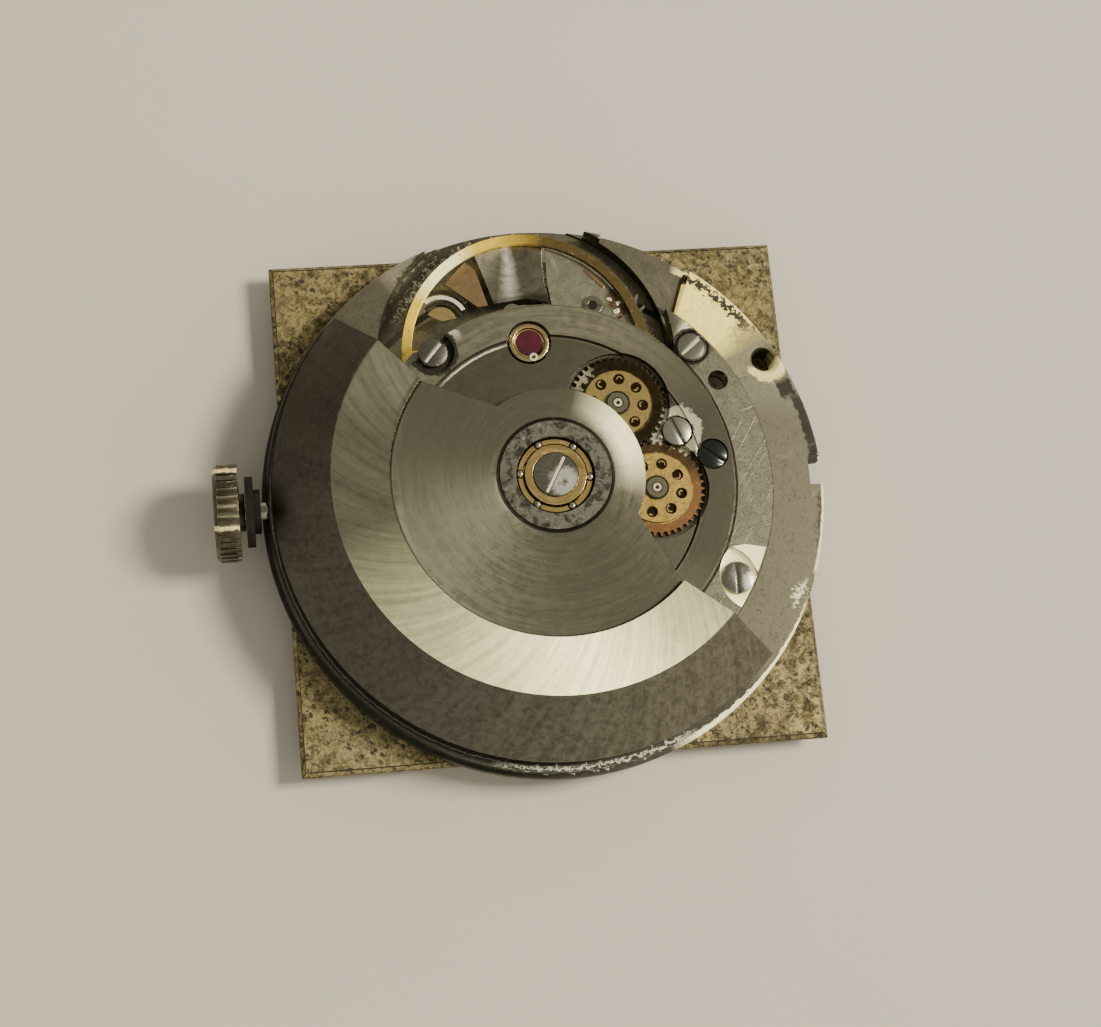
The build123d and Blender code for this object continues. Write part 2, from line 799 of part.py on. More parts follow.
# Setting lever spring, a thin cover over the two levers
with BuildPart() as setting_lever_spring:
    cover = (
        (setting_pin[0] - lever_width, setting_pin[1] - lever_width),
        (lever_screws_at[1][0] - 9 * gap, lever_screws_at[1][1]),
        (lever_screws_at[1][0] - small_head_r / 2, lever_screws_at[1][1] - 9 * gap),
        (lever_screws_at[0][0] - small_head_r, lever_screws_at[0][1] - small_head_r),
        (yoke_at[0] + small_head_r, yoke_at[1] - lever_width),
        (yoke_at[0] + small_head_r, yoke_at[1] + lever_width),
        (setting_pin[0] + lever_width, setting_pin[1] - 2 * lever_width),
    )
    extrude(outline(cover, lever_spring_low), amount=lever_spring_thick)
    for place in lever_screws_at:
        post(place, small_head_r + fit, seat - over, motion_roof, Mode.SUBTRACT)
finish(setting_lever_spring, "setting_lever_spring")

# Winding stem: hub, groove, round seat, square and pilot
with BuildPart() as stem:
    rod(stem_hub_r, crown_tube_end, groove_at - groove_long)
    rod(stem_r, crown_inner - crown_dome, square_start)
    rod(pilot_r, square_start, pilot_end)
    with Locations((square_start, 0, stem_z)):
        square_long = square_end - square_start
        Box(square_long, square_side, square_side, align=(Align.MIN, Align.CENTER, Align.CENTER))
    rod(stem_hub_r + gap, groove_at - groove_long / 2, groove_at + groove_long / 2, Mode.SUBTRACT)
    rod(groove_r, groove_at - groove_long, groove_at + groove_long)
finish(stem, "stem")

# Crown: knurled rim, domed face and the tube that holds the stem
with BuildPart() as crown:
    with BuildSketch(Plane.YZ.offset(crown_outer)):
        with Locations((0, stem_z)):
            Circle(crown_r)
    extrude(amount=crown_inner - crown_outer)
    outer_edge = crown.faces().sort_by(Axis.X)[0].edges()
    chamfer(outer_edge, crown_dome)
    with BuildSketch(Plane.YZ.offset(crown_outer + crown_dome)):
        with Locations((0, stem_z)):
            with PolarLocations((crown_r + crown_root_r) / 2 + gap, crown_teeth):
                Rectangle(crown_r - crown_root_r + gap, pi * crown_root_r / crown_teeth)
    extrude(amount=crown_inner - crown_outer, mode=Mode.SUBTRACT)
    rod(crown_tube_r, crown_inner, crown_tube_end)
    rod(stem_r + fit, crown_inner - crown_dome - fit, crown_tube_end + over, Mode.SUBTRACT)
    rod(stem_hub_r + fit, crown_tube_end - fit, crown_tube_end + over, Mode.SUBTRACT)
finish(crown, "crown")

# Seal collar round the stem, between crown and plate
with BuildPart() as stem_seal:
    rod(seal_disc_r, seal_disc_start, seal_disc_end)
    rod(seal_block_r, seal_disc_end, seal_block_end)
    rod(stem_hub_r + run, seal_disc_start - gap, seal_block_end + gap, Mode.SUBTRACT)
finish(stem_seal, "stem_seal")


def face_tooth(step, start, inner, outer):
    """Face of one wedge tooth on an end of the winding pinion or the clutch."""
    angle = step * 360 / face_teeth
    half = 360 / face_teeth * face_tooth_share
    with BuildSketch(Plane.YZ.offset(start)) as profile:
        with BuildLine():
            corners = [
                polar(inner, angle - half, (0, stem_z)),
                polar(outer, angle - half, (0, stem_z)),
                polar(outer, angle + half, (0, stem_z)),
                polar(inner, angle + half, (0, stem_z)),
            ]
            Polyline(*corners, close=True)
        make_face()
    return profile.sketch


# Winding pinion on the stem's round seat
winding_gear = Gear((0, stem_z), winding_teeth, winding_r, 90 + 180 / winding_teeth)
with BuildPart() as winding_pinion:
    with BuildSketch(Plane.YZ.offset(winding_teeth_start)):
        with BuildLine():
            Polyline(*winding_gear.outline(), close=True)
        make_face()
    extrude(amount=winding_teeth_long)
    rod(winding_hub_r, winding_teeth_start + winding_teeth_long, winding_end)
    for tooth in range(face_teeth):
        wedge = face_tooth(tooth, winding_end - gap, stem_r + 2 * gap, winding_hub_r - gap)
        extrude(wedge, amount=face_tooth_long)
    rod(stem_r + run, winding_teeth_start - over, winding_end + over, Mode.SUBTRACT)
finish(winding_pinion, "winding_pinion")

# Sliding clutch on the stem's square
with BuildPart() as sliding_clutch:
    rod(clutch_r, clutch_start, clutch_end)
    rod(clutch_r + gap, clutch_groove[0], clutch_groove[1], Mode.SUBTRACT)
    rod(clutch_groove_r, clutch_groove[0] - gap, clutch_groove[1] + gap)
    for tooth in range(face_teeth):
        tooth_start = clutch_start - face_tooth_long + gap
        wedge = face_tooth(tooth + clutch_turn_share, tooth_start, stem_r + 2 * gap, winding_hub_r - gap)
        extrude(wedge, amount=face_tooth_long)
    with BuildSketch(Plane.YZ.offset(clutch_end - face_tooth_long)):
        with Locations((0, stem_z)):
            with PolarLocations(clutch_r, 2 * face_teeth):
                Rectangle(clutch_r / 2, clutch_r / face_teeth)
    extrude(amount=2 * face_tooth_long, mode=Mode.SUBTRACT)
    with Locations((clutch_start - over, 0, stem_z)):
        Box(
            clutch_end - clutch_start + 2 * over,
            square_side + 2 * run,
            square_side + 2 * run,
            align=(Align.MIN, Align.CENTER, Align.CENTER),
            mode=Mode.SUBTRACT,
        )
finish(sliding_clutch, "sliding_clutch")

# Barrel drum with its toothed flange
with BuildPart() as barrel_drum:
    post(barrel_at, barrel_drum_r, barrel_low, barrel_high)
    extrude(toothed(barrel_gear, barrel_flange_low), amount=barrel_flange_thick)
    post(barrel_at, barrel_drum_r - barrel_wall, barrel_low + barrel_floor, barrel_high + over, Mode.SUBTRACT)
    post(barrel_at, barrel_pivot_r + run, barrel_low - over, barrel_high, Mode.SUBTRACT)
finish(barrel_drum, "barrel_drum")

# Barrel cover, snapped into the drum
with BuildPart() as barrel_cover:
    post(barrel_at, barrel_drum_r - barrel_wall - fit, barrel_high - barrel_floor, barrel_high)
    post(barrel_at, barrel_pivot_r + run, barrel_low, barrel_high + over, Mode.SUBTRACT)
finish(barrel_cover, "barrel_cover")

# Barrel arbor: core, pivots and the square for the ratchet wheel
with BuildPart() as barrel_arbor:
    post(barrel_at, barrel_arbor_r, barrel_low + barrel_floor + gap, barrel_high - barrel_floor - gap)
    post(barrel_at, barrel_pivot_r, train_floor - gap, ratchet_low)
    with Locations((barrel_at[0], barrel_at[1], ratchet_low)):
        Box(barrel_pivot_r, barrel_pivot_r, ratchet_thick, align=UPRIGHT)
    post(barrel_at, small_shank_r + fit, ratchet_low - small_shank_long, bridge_top, Mode.SUBTRACT)
finish(barrel_arbor, "barrel_arbor")

# Mainspring, a flat spiral strip between arbor and drum
with BuildPart() as mainspring:
    spring_floor = barrel_low + barrel_floor + gap
    strip = spiral(
        barrel_at, mainspring_r, mainspring_pitch, mainspring_turns, mainspring_wire, spring_floor
    )
    extrude(strip, amount=barrel_high - barrel_floor - gap - spring_floor)
finish(mainspring, "mainspring")

# Ratchet wheel on the arbor's square
with BuildPart() as ratchet_wheel:
    extrude(toothed(ratchet_gear, ratchet_low), amount=ratchet_thick)
    square_hole = barrel_pivot_r + 2 * fit
    with Locations((barrel_at[0], barrel_at[1], ratchet_low)):
        Box(square_hole, square_hole, 2 * ratchet_thick, mode=Mode.SUBTRACT)
finish(ratchet_wheel, "ratchet_wheel")

# Ratchet screw
with BuildPart() as ratchet_screw:
    ratchet_screw_top = ratchet_low + ratchet_thick + small_head_thick
    ratchet_head_r = barrel_arbor_r
    screw(
        barrel_at, ratchet_screw_top, ratchet_head_r, small_head_thick, small_shank_r, small_shank_long, small_slot
    )
finish(ratchet_screw, "ratchet_screw")

# Crown wheel, driven by the winding pinion
with BuildPart() as crown_wheel:
    extrude(toothed(crown_gear, ratchet_low), amount=ratchet_thick)
    post(crown_wheel_at, barrel_pivot_r + run, ratchet_low - over, ratchet_low + over, Mode.SUBTRACT)
finish(crown_wheel, "crown_wheel")

# Click, which holds the ratchet wheel
click_tip = polar(ratchet_gear.tip_r() + 2 * gap, heading(barrel_at, click_at) + click_turn, barrel_at)
with BuildPart() as click:
    post(click_at, small_head_r + 2 * gap, ratchet_low, ratchet_low + click_thick)
    extrude(link(click_at, click_tip, 3 * gap, ratchet_low), amount=click_thick)
    post(click_at, small_shank_r + run, ratchet_low - over, ratchet_low + over, Mode.SUBTRACT)
finish(click, "click")

# Click spring, a bent wire strip beside the ratchet wheel
with BuildPart() as click_spring:
    post(click_spring_at, small_head_r, ratchet_low, ratchet_low + click_thick / 2)
    spring_bend = polar(apart(barrel_at, click_at) - small_head_r, click_bend, barrel_at)
    extrude(link(click_spring_at, spring_bend, 3 * gap, ratchet_low), amount=click_thick / 2)
    post(click_spring_at, small_shank_r + fit, ratchet_low - over, ratchet_low + over, Mode.SUBTRACT)
finish(click_spring, "click_spring")


def wheel(gear, low, thick, hub_r, windows):
    """Adds a toothed wheel with round windows between its hub and its rim."""
    extrude(toothed(gear, low), amount=thick)
    ring = (hub_r + gear.root_r()) / 2
    window_r = min((gear.root_r() - hub_r) / 2 - 2 * gap, ring * sin(pi / windows) - 2 * gap)
    with Locations((gear.place[0], gear.place[1], low)):
        with PolarLocations(ring, windows):
            Cylinder(window_r, 2 * thick, mode=Mode.SUBTRACT)


def arbor(place, radius, low, high, pivot_low, pivot_high):
    """Adds an arbor with a pivot at each end."""
    post(place, radius, low, high)
    post(place, pivot_r, pivot_low, pivot_high)


# Centre wheel with its pinion and the long arbor for the cannon pinion
with BuildPart() as centre_wheel:
    wheel(centre_gear, centre_low, centre_thick, barrel_pinion.tip_r(), 5)
    extrude(toothed(barrel_pinion, centre_low), amount=barrel_high - barrel_floor - centre_low)
    post(axis, centre_arbor_r, hour_pipe_end, centre_low)
    post(axis, centre_arbor_r, centre_low, plate_top - gap)
    post(axis, pivot_r, plate_top - gap, thin_top)
finish(centre_wheel, "centre_wheel")

# Third wheel and pinion
with BuildPart() as third_wheel:
    wheel(third_gear, third_low, wheel_thick, 2 * arbor_r, 5)
    extrude(toothed(third_pinion, train_floor + fit), amount=wheel_thick + gap)
    arbor(third_at, arbor_r, train_floor + gap / 2, plate_top - gap, train_floor - jewel_thick, thin_top)
finish(third_wheel, "third_wheel")

# Fourth wheel and pinion
with BuildPart() as fourth_wheel:
    wheel(fourth_gear, fourth_low, wheel_thick, 2 * arbor_r, 5)
    extrude(toothed(fourth_pinion, third_low - gap), amount=wheel_thick + 2 * gap)
    arbor(fourth_at, arbor_r, train_floor + gap / 2, plate_top - gap, train_floor - jewel_thick, thin_top)
finish(fourth_wheel, "fourth_wheel")

# Escape wheel: slanted teeth, windows and pinion
with BuildPart() as escape_wheel:
    tooth_pitch = 360 / escape_teeth
    escape_points = []
    for tooth in range(escape_teeth):
        for share, turn_share in zip(escape_shares, escape_turn_shares):
            escape_points.append(polar(escape_r * share, (tooth + turn_share) * tooth_pitch, escape_at))
    extrude(outline(escape_points, escape_low), amount=escape_thick)
    with Locations((escape_at[0], escape_at[1], escape_low)):
        with PolarLocations(escape_r * escape_window_shares[0], 4):
            Cylinder(escape_r * escape_window_shares[1], 2 * escape_thick, mode=Mode.SUBTRACT)
    extrude(toothed(escape_pinion, fourth_low - gap), amount=wheel_thick + 2 * gap)
    thin_arbor_r = arbor_r * thin_arbor_share
    escape_span = (train_floor + gap / 2, plate_top - gap)
    arbor(escape_at, thin_arbor_r, *escape_span, train_floor - jewel_thick, thin_top)
finish(escape_wheel, "escape_wheel")

# Pallet fork: lever with notch, two arms with stones, arbor
to_balance = heading(pallet_at, balance_at)
to_escape = heading(pallet_at, escape_at)
notch_reach = pallet_reach - impulse_reach
with BuildPart() as pallet_fork:
    fork_end = polar(notch_reach, to_balance, pallet_at)
    extrude(link(pallet_at, fork_end, 4 * gap, escape_low), amount=fork_thick)
    post(fork_end, fork_end_r, escape_low, escape_low + fork_thick)
    notch_end = polar(pallet_reach, to_balance, pallet_at)
    notch = link(fork_end, notch_end, 2 * (impulse_r + run), escape_low - gap)
    extrude(notch, amount=fork_thick + 2 * gap, mode=Mode.SUBTRACT)
    for side in (-1, 1):
        arm_end = polar(fork_arm, to_escape + side * fork_spread, pallet_at)
        extrude(link(pallet_at, arm_end, 4 * gap, escape_low), amount=fork_thick)
        with Locations(Location((arm_end[0], arm_end[1], escape_low), (0, 0, to_escape - side * stone_lean))):
            Box(stone_long, stone_wide, fork_thick, align=(Align.MIN, Align.CENTER, Align.MIN))
    fork_arbor_high = escape_low + 3 * gap
    fork_span = (train_floor + gap / 2, fork_arbor_high)
    arbor(pallet_at, thin_arbor_r, *fork_span, train_floor - jewel_thick, plate_top)
finish(pallet_fork, "pallet_fork")

# Pallet bridge
pallet_bridge_low = plate_top - pallet_bridge_thick
with BuildPart() as pallet_bridge:
    extrude(link(pallet_screw_at, pallet_at, pallet_arm_width, pallet_bridge_low), amount=pallet_bridge_thick)
    post(pallet_screw_at, pallet_foot_r, pallet_bridge_low, plate_top)
    post(pallet_at, jewel_r + fit, pallet_bridge_low - gap, plate_top + gap, Mode.SUBTRACT)
    post(pallet_screw_at, small_shank_r + fit, seat, plate_top + gap, Mode.SUBTRACT)
finish(pallet_bridge, "pallet_bridge")

# Balance wheel: smooth rim and two arms
with BuildPart() as balance_wheel:
    post(balance_at, rim_r, rim_low, rim_high)
    post(balance_at, rim_r - rim_width, rim_low - over, rim_high + over, Mode.SUBTRACT)
    with Locations((balance_at[0], balance_at[1], arm_low)):
        Box(2 * rim_r - rim_width, arm_width, arm_thick, align=UPRIGHT)
    post(balance_at, hub_r, arm_low, arm_low + arm_thick)
    post(balance_at, staff_r + fit, rim_low - over, rim_high + over, Mode.SUBTRACT)
finish(balance_wheel, "balance_wheel")

# Balance staff with its roller and impulse pin
impulse_at = polar(impulse_reach, pallet_angle, balance_at)
with BuildPart() as balance_staff:
    post(balance_at, staff_r, train_floor + 4 * gap, cock_low - gap)
    post(balance_at, pivot_r, train_floor - gap, cap_low - gap)
    post(balance_at, hub_r - 2 * gap, arm_low + arm_thick, arm_low + arm_thick + 2 * gap)
    post(balance_at, roller_r, roller_low, roller_low + roller_thick)
    post(impulse_at, impulse_r, escape_low - gap, roller_low)
finish(balance_staff, "balance_staff")

# Hairspring, a flat spiral whose gap between turns is printed
with BuildPart() as hairspring:
    coil = spiral(balance_at, spring_inner_r, spring_pitch, spring_turns, spring_wire, spring_low)
    extrude(coil, amount=spring_high - spring_low)
finish(hairspring, "hairspring")
print("hairspring gap between turns", round(spring_pitch - spring_wire, 3), "mm")
print("mainspring gap between turns", round(mainspring_pitch - mainspring_wire, 3), "mm")

# Balance cock: foot, arm over the rim and round end
with BuildPart() as balance_cock:
    post(cock_foot, cock_foot_r, plate_top, cock_foot_high)
    with BuildSketch(Plane.XY.offset(cock_low)) as arm:
        with Locations(middle(cock_foot, balance_at)):
            arm_long = apart(cock_foot, balance_at)
            SlotCenterToCenter(arm_long, cock_width, rotation=heading(cock_foot, balance_at))
        with Locations(balance_at):
            Circle(cock_end_r)
        Circle(rotor_step_r - 4 * gap, mode=Mode.INTERSECT)
    extrude(amount=cock_high - cock_low)
    post(balance_at, shock_r + fit, cock_low - over, cock_high + over, Mode.SUBTRACT)
    screw_hole(cock_foot, screw_level, bridge_head_r, head_thick, bridge_shank_r, bridge_shank_long)
    post(screw_auto_left, auto_shank_r + fit, cock_low + 2 * gap, cock_high + over, Mode.SUBTRACT)
finish(balance_cock, "balance_cock")

# Regulator index round the upper shock setting
with BuildPart() as regulator:
    post(balance_at, regulator_r, cock_high + gap / 2, cock_high + gap / 2 + regulator_thick)
    index_tip = polar(regulator_r + 4 * gap, regulator_heading, balance_at)
    extrude(link(balance_at, index_tip, shock_r, cock_high + gap / 2), amount=regulator_thick)
    post(balance_at, shock_r + run, cock_high, auto_top, Mode.SUBTRACT)
finish(regulator, "regulator")

# Upper and lower shock settings of the balance staff
setting_low_top = train_floor + 3 * gap
low_cap_low = setting_low_top - 2 * cap_jewel_thick - gap
with BuildPart() as shock_settings:
    post(balance_at, shock_r, cock_low, shock_high)
    clip_room_r = clip_r + clip_wire_r + gap
    post(balance_at, clip_room_r, cap_low + cap_jewel_thick - gap, shock_high + over, Mode.SUBTRACT)
    post(balance_at, cap_jewel_r + fit, cap_low, shock_high + over, Mode.SUBTRACT)
    post(balance_at, staff_r + gap, cock_low - over, cock_low + 2 * gap, Mode.SUBTRACT)
    post(balance_at, pivot_r + run, cock_low - over, cap_low + over, Mode.SUBTRACT)
    post(balance_at, shock_low_r, seat + gap, setting_low_top)
    post(balance_at, clip_low_r + clip_wire_r + gap, seat - over, low_cap_low + gap, Mode.SUBTRACT)
    post(balance_at, cap_jewel_r + fit, seat, low_cap_low + cap_jewel_thick, Mode.SUBTRACT)
    post(balance_at, pivot_r + run, seat, setting_low_top + gap, Mode.SUBTRACT)
finish(shock_settings, "shock_settings")

# Cap jewels over the ends of the balance staff
with BuildPart() as cap_jewels:
    for low in (cap_low, low_cap_low):
        post(balance_at, cap_jewel_r, low, low + cap_jewel_thick)
    chamfer(cap_jewels.faces().sort_by(Axis.Z)[-1].edges(), gap)
finish(cap_jewels, "cap_jewels")

# Open ring springs that hold the cap jewels
with BuildPart() as shock_springs:
    for height, ring in ((cap_low + cap_jewel_thick + gap / 2, clip_r), (low_cap_low - 2 * gap, clip_low_r)):
        with BuildSketch(Plane.XZ.offset(-balance_at[1])):
            with Locations((balance_at[0] + ring, height)):
                Circle(clip_wire_r)
        revolve(axis=Axis((balance_at[0], balance_at[1], 0), (0, 0, 1)), revolution_arc=clip_arc)
finish(shock_springs, "shock_springs")

# Barrel bridge, which carries barrel, crown wheel and centre wheel
with BuildPart() as barrel_bridge:
    with BuildSketch(Plane.XY.offset(plate_top)):
        Circle(bridge_r)
        with Locations(polar(split_reach - gap, split_angle)):
            split_align = (Align.MIN, Align.CENTER)
            Rectangle(3 * bridge_r, 3 * bridge_r, split_angle, align=split_align, mode=Mode.SUBTRACT)
        with Locations((0, barrel_bridge_side)):
            upper_align = (Align.CENTER, Align.MIN)
            Rectangle(3 * bridge_r, bridge_r, align=upper_align, mode=Mode.SUBTRACT)
    extrude(amount=bridge_thick)
    post(balance_at, rim_r + balance_room, thin_top, bridge_top + over, Mode.SUBTRACT)
    ratchet_rooms = (
        (barrel_at, ratchet_gear.tip_r()),
        (crown_wheel_at, crown_gear.tip_r()),
        (driver_at, driver_pinion.tip_r()),
        (click_at, small_head_r + 2 * gap),
        (click_spring_at, small_head_r),
    )
    for place, radius in ratchet_rooms:
        post(place, radius + 2 * gap, winding_floor, bridge_top + over, Mode.SUBTRACT)
    extrude(link(click_at, barrel_at, 2 * small_head_r, winding_floor), amount=over, mode=Mode.SUBTRACT)
    extrude(link(click_spring_at, click_at, 2 * small_head_r, winding_floor), amount=over, mode=Mode.SUBTRACT)
    post(crown_wheel_at, barrel_pivot_r, winding_floor, ratchet_low + ratchet_thick + gap / 2)
    with Locations((slot_ends[0], 0, plate_top)):
        slot_box = (Align.MIN, Align.CENTER, Align.MIN)
        clutch_top = stem_z + clutch_r + run - plate_top
        pinion_top = stem_z + winding_gear.tip_r() + gap - plate_top
        Box(slot_ends[1] - slot_ends[0], 2 * clutch_r, clutch_top, align=slot_box, mode=Mode.SUBTRACT)
        Box(winding_end - slot_ends[0], 2 * slot_half, pinion_top, align=slot_box, mode=Mode.SUBTRACT)
    post(barrel_at, barrel_pivot_r + run, plate_top - over, bridge_top, Mode.SUBTRACT)
    post(driver_at, pivot_r + run, winding_floor - 6 * gap, bridge_top, Mode.SUBTRACT)
    post(axis, jewel_r + fit, thin_top - jewel_thick, thin_top + over, Mode.SUBTRACT)
    post(axis, centre_arbor_r + run, plate_top - over, thin_top, Mode.SUBTRACT)
    for place in (click_at, click_spring_at, crown_wheel_at):
        post(place, small_shank_r + fit, winding_floor - 4 * gap, bridge_top, Mode.SUBTRACT)
    for place in barrel_screws_at:
        screw_hole(place, screw_level, bridge_head_r, head_thick, bridge_shank_r, bridge_shank_long)
    post(auto_low_at, auto_shank_r + fit, plate_top + 2 * gap, bridge_top + over, Mode.SUBTRACT)
finish(barrel_bridge, "barrel_bridge")

# Train bridge: thick outside the balance, thin fingers to the pivots inside it
with BuildPart() as train_bridge:
    with BuildSketch(Plane.XY.offset(plate_top)):
        Circle(bridge_r)
        with Locations(polar(split_reach + gap, split_angle)):
            train_align = (Align.MAX, Align.CENTER)
            Rectangle(3 * bridge_r, 3 * bridge_r, split_angle, align=train_align, mode=Mode.SUBTRACT)
        Rectangle(3 * bridge_r, 3 * bridge_r, align=train_align, mode=Mode.SUBTRACT)
        with Locations(balance_at):
            Circle(recess_r, mode=Mode.SUBTRACT)
    extrude(amount=bridge_thick)
    for start in (third_at, fourth_at):
        root = polar(recess_r + finger_width / 2, heading(balance_at, start), balance_at)
        extrude(link(start, root, finger_width, plate_top), amount=thin_thick)
    extrude(link(fourth_at, escape_at, finger_width, plate_top), amount=thin_thick)
    for place in (third_at, fourth_at, escape_at):
        post(place, jewel_r + fit, thin_top - jewel_thick, thin_top + over, Mode.SUBTRACT)
        post(place, arbor_r + run, plate_top - over, thin_top, Mode.SUBTRACT)
    # Sunk leaf round one screw, polished pad round the other
    leaf = meeting_arcs(leaf_tips[0], leaf_tips[1], leaf_wide, bridge_top - leaf_deep)
    extrude(leaf, amount=leaf_deep + over, mode=Mode.SUBTRACT)
    pad_at = train_screws_at[0]
    with Locations(Location((pad_at[0], pad_at[1], bridge_top), (0, 0, bridge_slots[0]))):
        Box(pad_size[0], pad_size[1], 2 * pad_deep, mode=Mode.SUBTRACT)
    for place in train_screws_at:
        screw_hole(place, screw_level, bridge_head_r, head_thick, bridge_shank_r, bridge_shank_long)
    for place in (screw_auto_right, screw_land):
        post(place, auto_shank_r + fit, plate_top + 2 * gap, bridge_top + over, Mode.SUBTRACT)
    post(case_hole, case_hole_r, plate_top - over, bridge_top + over, Mode.SUBTRACT)
finish(train_bridge, "train_bridge")

# Ring jewels of the train
with BuildPart() as train_jewels:
    for place in (third_at, fourth_at, escape_at, pallet_at):
        post(place, jewel_r, train_floor - jewel_thick, train_floor)
    for place in (axis, third_at, fourth_at, escape_at):
        post(place, jewel_r, thin_top - jewel_thick + fit, thin_top)
    post(pallet_at, jewel_r, pallet_bridge_low, plate_top)
    for place in (axis, third_at, fourth_at, escape_at, pallet_at):
        post(place, pivot_r + run, train_floor - over, thin_top + over, Mode.SUBTRACT)
finish(train_jewels, "train_jewels")

# Lower bridge of the automatic work
with BuildPart() as auto_lower_bridge:
    post(axis, auto_inner_r - fit, bridge_top, auto_base)
    extrude(
        link(cock_foot, balance_at, cock_width + 4 * gap, bridge_top - over),
        amount=2 * over,
        mode=Mode.SUBTRACT,
    )
    post(balance_at, cock_end_r + 2 * gap, bridge_top - over, auto_base + over, Mode.SUBTRACT)
    post(driver_at, driver_pinion.tip_r() + gap, bridge_top - over, auto_base + over, Mode.SUBTRACT)
    for place in (reverser_a_at, reverser_b_at, reduction_at):
        post(place, pivot_r + run, bridge_top - over, auto_base + over, Mode.SUBTRACT)
    post(screw_land, auto_shank_r + fit, bridge_top - over, auto_base + over, Mode.SUBTRACT)
finish(auto_lower_bridge, "auto_lower_bridge")

# Upper bridge of the automatic work: ring, sunk floor and pockets
with BuildPart() as auto_upper_bridge:
    post(axis, auto_r, bridge_top, auto_top)
    chamfer(auto_upper_bridge.faces().sort_by(Axis.Z)[-1].edges(), gap)
    post(axis, auto_inner_r, floor_high, auto_top + over, Mode.SUBTRACT)
    post(axis, auto_inner_r, bridge_top - over, floor_low, Mode.SUBTRACT)
    land = sector(land_inner, auto_inner_r + gap, land_angles[0], land_angles[1], floor_high)
    extrude(land, amount=land_high)
    wheel_pockets = (
        (axis, rotor_gear.tip_r()),
        (reverser_a_at, reverser_a.tip_r()),
        (reverser_b_at, reverser_b.tip_r()),
    )
    for place, radius in wheel_pockets:
        post(place, radius + 3 * gap, pocket_floor, auto_top + over, Mode.SUBTRACT)
    extrude(
        link(cock_foot, balance_at, cock_width + 4 * gap, bridge_top - over),
        amount=cock_room_top - bridge_top + over,
        mode=Mode.SUBTRACT,
    )
    post(balance_at, cock_end_r + 2 * gap, bridge_top - over, cock_room_top, Mode.SUBTRACT)
    post(balance_at, shock_r + 2 * gap, bridge_top - over, auto_top + over, Mode.SUBTRACT)
    for place in (reverser_a_at, reverser_b_at):
        post(place, reverser_hub_r + run, floor_low - over, auto_top, Mode.SUBTRACT)
    for place in (reduction_at, driver_at):
        post(place, pivot_r + run, floor_low - over, floor_low + 3 * gap, Mode.SUBTRACT)
    post(axis, screw_shank_r + fit, floor_low - over, auto_top, Mode.SUBTRACT)
    for place in long_screws_at:
        post(place, auto_head_r + gap, auto_top - head_thick, auto_top + over, Mode.SUBTRACT)
        post(place, auto_shank_r + fit, bridge_top - over, auto_top, Mode.SUBTRACT)
    post(screw_auto_left, auto_head_r + 6 * gap, auto_top - head_thick, auto_top + over, Mode.SUBTRACT)
    post(screw_auto_left, auto_shank_r + fit, bridge_top - over, auto_top, Mode.SUBTRACT)
finish(auto_upper_bridge, "auto_upper_bridge")


def reverser(gear, thick, first_hole):
    """Adds a reverser wheel: toothed ring below, holed disc above, and the bore."""
    extrude(toothed(gear, reverser_low), amount=thick)
    post(gear.place, gear.pitch_r * reverser_disc_share, reverser_low + thick, reverser_high)
    with Locations(Location((gear.place[0], gear.place[1], reverser_high), (0, 0, first_hole))):
        with PolarLocations(reverser_hole_ring, reverser_holes):
            Cylinder(reverser_hole_r, 2 * (reverser_high - reverser_low - thick), mode=Mode.SUBTRACT)
    post(gear.place, reverser_hub_r + run, reverser_low - over, hub_high + over, Mode.SUBTRACT)


def reverser_arbor(gear):
    """Adds a reverser's pinion with its arbor, pivot and round head."""
    extrude(toothed(gear, pinion_low), amount=pinion_high - pinion_low)
    post(gear.place, pivot_r, bridge_top + gap, pinion_low)
    post(gear.place, reverser_hub_r, pinion_low, hub_high)
    post(gear.place, hub_head_r, reverser_high + gap / 2, hub_high)
    post(gear.place, pivot_r, hub_high - gap, hub_high + over, Mode.SUBTRACT)


# Reverser wheels, which mesh with each other; the rotor's gear meshes with the first
with BuildPart() as reverser_wheel_a:
    reverser(reverser_a, reverser_a_thick, reverser_a_first)
finish(reverser_wheel_a, "reverser_wheel_a")

with BuildPart() as reverser_wheel_b:
    reverser(reverser_b, reverser_b_thick, reverser_b_first)
finish(reverser_wheel_b, "reverser_wheel_b")

with BuildPart() as reverser_pinion_a:
    reverser_arbor(pinion_a)
finish(reverser_pinion_a, "reverser_pinion_a")

with BuildPart() as reverser_pinion_b:
    reverser_arbor(pinion_b)
finish(reverser_pinion_b, "reverser_pinion_b")

# Reduction wheel and its pinion
with BuildPart() as reduction_wheel:
    wheel(reduction_gear, reduction_low, auto_wheel_thick, 2 * arbor_r, 5)
    extrude(toothed(reduction_pinion, reduction_pinion_low), amount=pinion_high - reduction_pinion_low)
    post(reduction_at, arbor_r, reduction_low, pinion_high + gap / 2)
    post(reduction_at, pivot_r, bridge_top + gap, floor_low + 2 * gap)
finish(reduction_wheel, "reduction_wheel")

# Ratchet driving wheel, whose pinion winds the barrel
with BuildPart() as ratchet_driver:
    wheel(driver_gear, driver_low, auto_wheel_thick, 2 * driver_pinion_r, 6)
    extrude(toothed(driver_pinion, ratchet_low), amount=ratchet_thick)
    post(driver_at, 2 * arbor_r, ratchet_low, driver_low + auto_wheel_thick)
    post(driver_at, pivot_r, winding_floor - 4 * gap, floor_low + 2 * gap)
finish(ratchet_driver, "ratchet_driver")


def rotor_point(along, across):
    """Point by its distance along the rotor's heavy direction and across it."""
    return polar(across, rotor_heading + 90, polar(along, rotor_heading))


